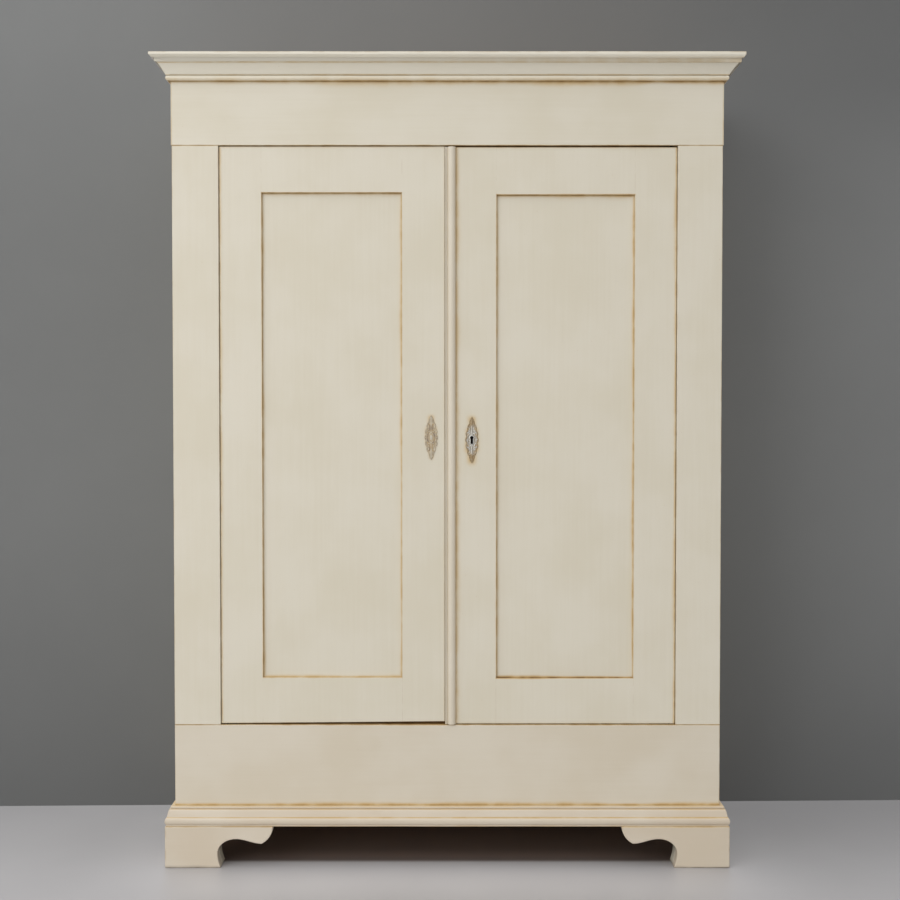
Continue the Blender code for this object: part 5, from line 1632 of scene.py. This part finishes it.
heads = {"screw": head_object("screw_head", screw_head()),
         "nail": head_object("nail_head", nail_head())}
print("faces per head:", {name: len(head.data.polygons) for name, head in heads.items()})

# %% [markdown]
# The tree takes points, a head, the way it faces, and how far it may turn. It places a head on each
# point, spins it by its own random angle, and makes the result real.

# %% Build the tree that places them
scatter = bpy.data.node_groups.new("place_heads", "GeometryNodeTree")
for name, kind in (("Points", "NodeSocketGeometry"), ("Head", "NodeSocketObject"),
                   ("Tilt", "NodeSocketVector"), ("Turn", "NodeSocketFloat"),
                   ("Seed", "NodeSocketInt"), ("Finish", "NodeSocketMaterial")):
    scatter.interface.new_socket(name, in_out="INPUT", socket_type=kind)
scatter.interface.new_socket("Result", in_out="OUTPUT", socket_type="NodeSocketGeometry")
given = put(scatter, "NodeGroupInput").outputs
info = put(scatter, "GeometryNodeObjectInfo", {"Object": given["Head"]})
turned = put(scatter, "FunctionNodeRandomValue", {3: given["Turn"], "Seed": given["Seed"]},
             data_type="FLOAT")
spin = put(scatter, "ShaderNodeCombineXYZ", {"Z": turned.outputs[1]})
placed = put(scatter, "GeometryNodeInstanceOnPoints", {
    "Points": given["Points"], "Instance": info.outputs["Geometry"], "Rotation": given["Tilt"]})
spun = put(scatter, "GeometryNodeRotateInstances", {
    "Instances": placed.outputs[0], "Rotation": spin.outputs[0], "Local Space": True})
real = put(scatter, "GeometryNodeRealizeInstances", {0: spun.outputs[0]})
finished = put(scatter, "GeometryNodeSetMaterial", {0: real.outputs[0],
                                                    "Material": given["Finish"]})
put(scatter, "NodeGroupOutput", {0: finished.outputs[0]})
print("tree:", len(scatter.nodes), "nodes")

# %% [markdown]
# Each iron part has its screws near its corners, where a smith drills them. The lock case is let in
# from behind, so its heads face the inside of the wardrobe.

# %% Place the screws
TOWARD_BACK = (-math.pi / 2, 0.0, 0.0)
FINISH_STEP = 1.3
CASE_INSET, CASE_FACE = 0.0033, 0.002
KEEPER_INSET, KEEPER_FACE = 0.006, 0.0025
BOLT_INSET, BOLT_FACE = 0.005, 0.003
LOCK_SEED, DOOR_SCREW_SEED = 3, 5


def place_heads(name, head, points, seed, body):
    """Heads on a list of points, as one plain mesh that rides on a body."""
    mesh = bpy.data.meshes.new(f"{name}_points")
    mesh.from_pydata(points, [], [])
    holder = bpy.data.objects.new(f"{name}_points", mesh)
    bpy.context.scene.collection.objects.link(holder)
    box = [Vector(corner(points, axis=0).tolist()) for corner in (np.min, np.max)]
    finish = iron_material(f"iron_{name}", box, seed * FINISH_STEP)
    values = {"Head": heads[head], "Tilt": TOWARD_BACK, "Turn": 2 * math.pi, "Seed": seed,
              "Finish": finish}
    modifier = holder.modifiers.new("place", "NODES")
    modifier.node_group = scatter
    for item in scatter.interface.items_tree:
        if item.in_out == "INPUT" and item.name in values:
            modifier[item.identifier] = values[item.name]
    bpy.context.view_layer.update()
    shown = holder.evaluated_get(bpy.context.evaluated_depsgraph_get())
    result = bpy.data.meshes.new_from_object(shown)
    bpy.data.objects.remove(holder)
    result.name = name
    piece = bpy.data.objects.new(name, result)
    bpy.context.scene.collection.objects.link(piece)
    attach(piece, body)
    print(name, "heads:", len(points), "faces:", len(result.polygons))


def corners_of(node, inset, face):
    """Four points inside the corners of a node's box, at a depth behind its front."""
    left, right, bottom, top = limits(node)
    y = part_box(node)[0].y + face
    return [(x, y, z) for x in (left + inset, right - inset) for z in (bottom + inset, top - inset)]


place_heads("lock_screws", "screw", corners_of("lock_case", CASE_INSET, CASE_FACE), LOCK_SEED,
            "right_door")
left, right, bottom, top = limits("lock_keeper")
screws = [((left + right) / 2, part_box("lock_keeper")[0].y + KEEPER_FACE, z)
          for z in (bottom + KEEPER_INSET, top - KEEPER_INSET)]
for end in ("top", "bottom"):
    screws += corners_of(f"left_door_{end}_bolt_plate", BOLT_INSET, BOLT_FACE)
place_heads("left_door_screws", "screw", screws, DOOR_SCREW_SEED, "left_door")

# %% [markdown]
# ### Back boards
# The back boards are rough and only nailed on, to the bottom board, the shelf and the back edges
# of the sides. Their outer faces sink by the height of a nail head, so the heads come no further
# out than the ends of the sides. Sawing left each face a little uneven.

# %% Remake the back boards
NAIL_PROUD = 0.0009
BACK_BOARDS = [f"back_board_{number}" for number in range(1, 6)]
BACK_SLICE = 0.1
BACK_END_CLEAR = 0.05
BACK_SKIN = 0.0025
SAWN_SHARE, SAWN_WAVES = 0.4, 6
BACK_JOINT = (0.0022, 0.9)

back_joints = [upright(limits(node)[0], 0, FAR, *BACK_JOINT) for node in BACK_BOARDS]
for number, node in enumerate(BACK_BOARDS, 1):
    low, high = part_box(node)
    made = copy_solid(node)
    places = np.arange(low.z + BACK_SLICE, high.z - BACK_END_CLEAR, BACK_SLICE)
    slice_solid(made, "Z", places.tolist())
    for vertex in made.verts:
        if vertex.co.y > high.y - BACK_SKIN:
            rough = noise.noise(vertex.co * SAWN_WAVES + Vector((0, number, 0)))
            vertex.co.y -= NAIL_PROUD * (1 + SAWN_SHARE * rough)
    pine = board_material(f"pine_{node}", (low, high), "Z", painted=False, dirt_and_shade=back_joints,
                          seed=PINE_SEED_STEP * number)
    add_piece(f"{node}_sawn", made, pine, CARCASE, "old_pine", node)
print("back boards:", len(BACK_BOARDS))

# %% [markdown]
# Two nails hold each board at the bottom board and two at the shelf. A further row runs up each
# side, into the back edges of the side boards.

# %% Nail the back boards
NAIL_INSET = 0.045
SHELF_MIDDLE = 0.010
SIDE_MIDDLE = 0.0165
SIDE_NAILS = (0.45, 1.92, 0.235)
NAIL_SEED = 7

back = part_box(BACK_BOARDS[0])[1].y - NAIL_PROUD
heights = [limits(node)[2] + SHELF_MIDDLE for node in ("bottom_board", "hat_shelf")]
nails = []
for node in BACK_BOARDS:
    left, right, _, _ = limits(node)
    nails += [(x, back, z) for z in heights for x in (left + NAIL_INSET, right - NAIL_INSET)]
for x in (X_LEFT + SIDE_MIDDLE, X_RIGHT - SIDE_MIDDLE):
    nails += [(x, back, z) for z in np.arange(*SIDE_NAILS).tolist()]
place_heads("back_nails", "nail", nails, NAIL_SEED, CARCASE)
print("back boards:", len(BACK_BOARDS), "nails:", len(nails))
for holder in heads.values():
    bpy.data.objects.remove(holder)

# %% [markdown]
# ### Hanging pole
# The pole was turned from a split pine stave. A turner's chisel leaves it very slightly uneven
# along its length, and a little thinner at the ends, where it drops into its notches.

# %% Make the pole
POLE_SIDES = 36
POLE_RINGS = 40
POLE_UNEVEN = 0.00035
POLE_WAVES = 9
POLE_EASED = 0.0012
POLE_FINISH = {"dust": 0.2, "seed": 71.0}
POLE_SMOOTH = math.radians(35)

low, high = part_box("hanging_pole")
middle = (low + high) / 2
radius = (high.z - low.z) / 2
made = bmesh.new()
rings = []
for ring in range(POLE_RINGS + 1):
    x = low.x + (high.x - low.x) * ring / POLE_RINGS
    around = []
    for side in range(POLE_SIDES):
        angle = 2 * math.pi * side / POLE_SIDES
        uneven = noise.noise(Vector((x * POLE_WAVES, math.cos(angle), math.sin(angle))))
        reach = radius - POLE_UNEVEN * (1 + uneven)
        if ring in (0, POLE_RINGS):
            reach -= POLE_EASED
        around.append(made.verts.new((x, middle.y + reach * math.cos(angle),
                                      middle.z + reach * math.sin(angle))))
    rings.append(around)
drawn_solid(made, rings)
bmesh.ops.recalc_face_normals(made, faces=made.faces)
add_piece("hanging_pole_turned", made,
          board_material("pine_pole", (low, high), "X", painted=False, **POLE_FINISH),
          CARCASE, "old_pine", "hanging_pole", smooth_up_to=POLE_SMOOTH)
print("pole radius:", round(radius, 4))
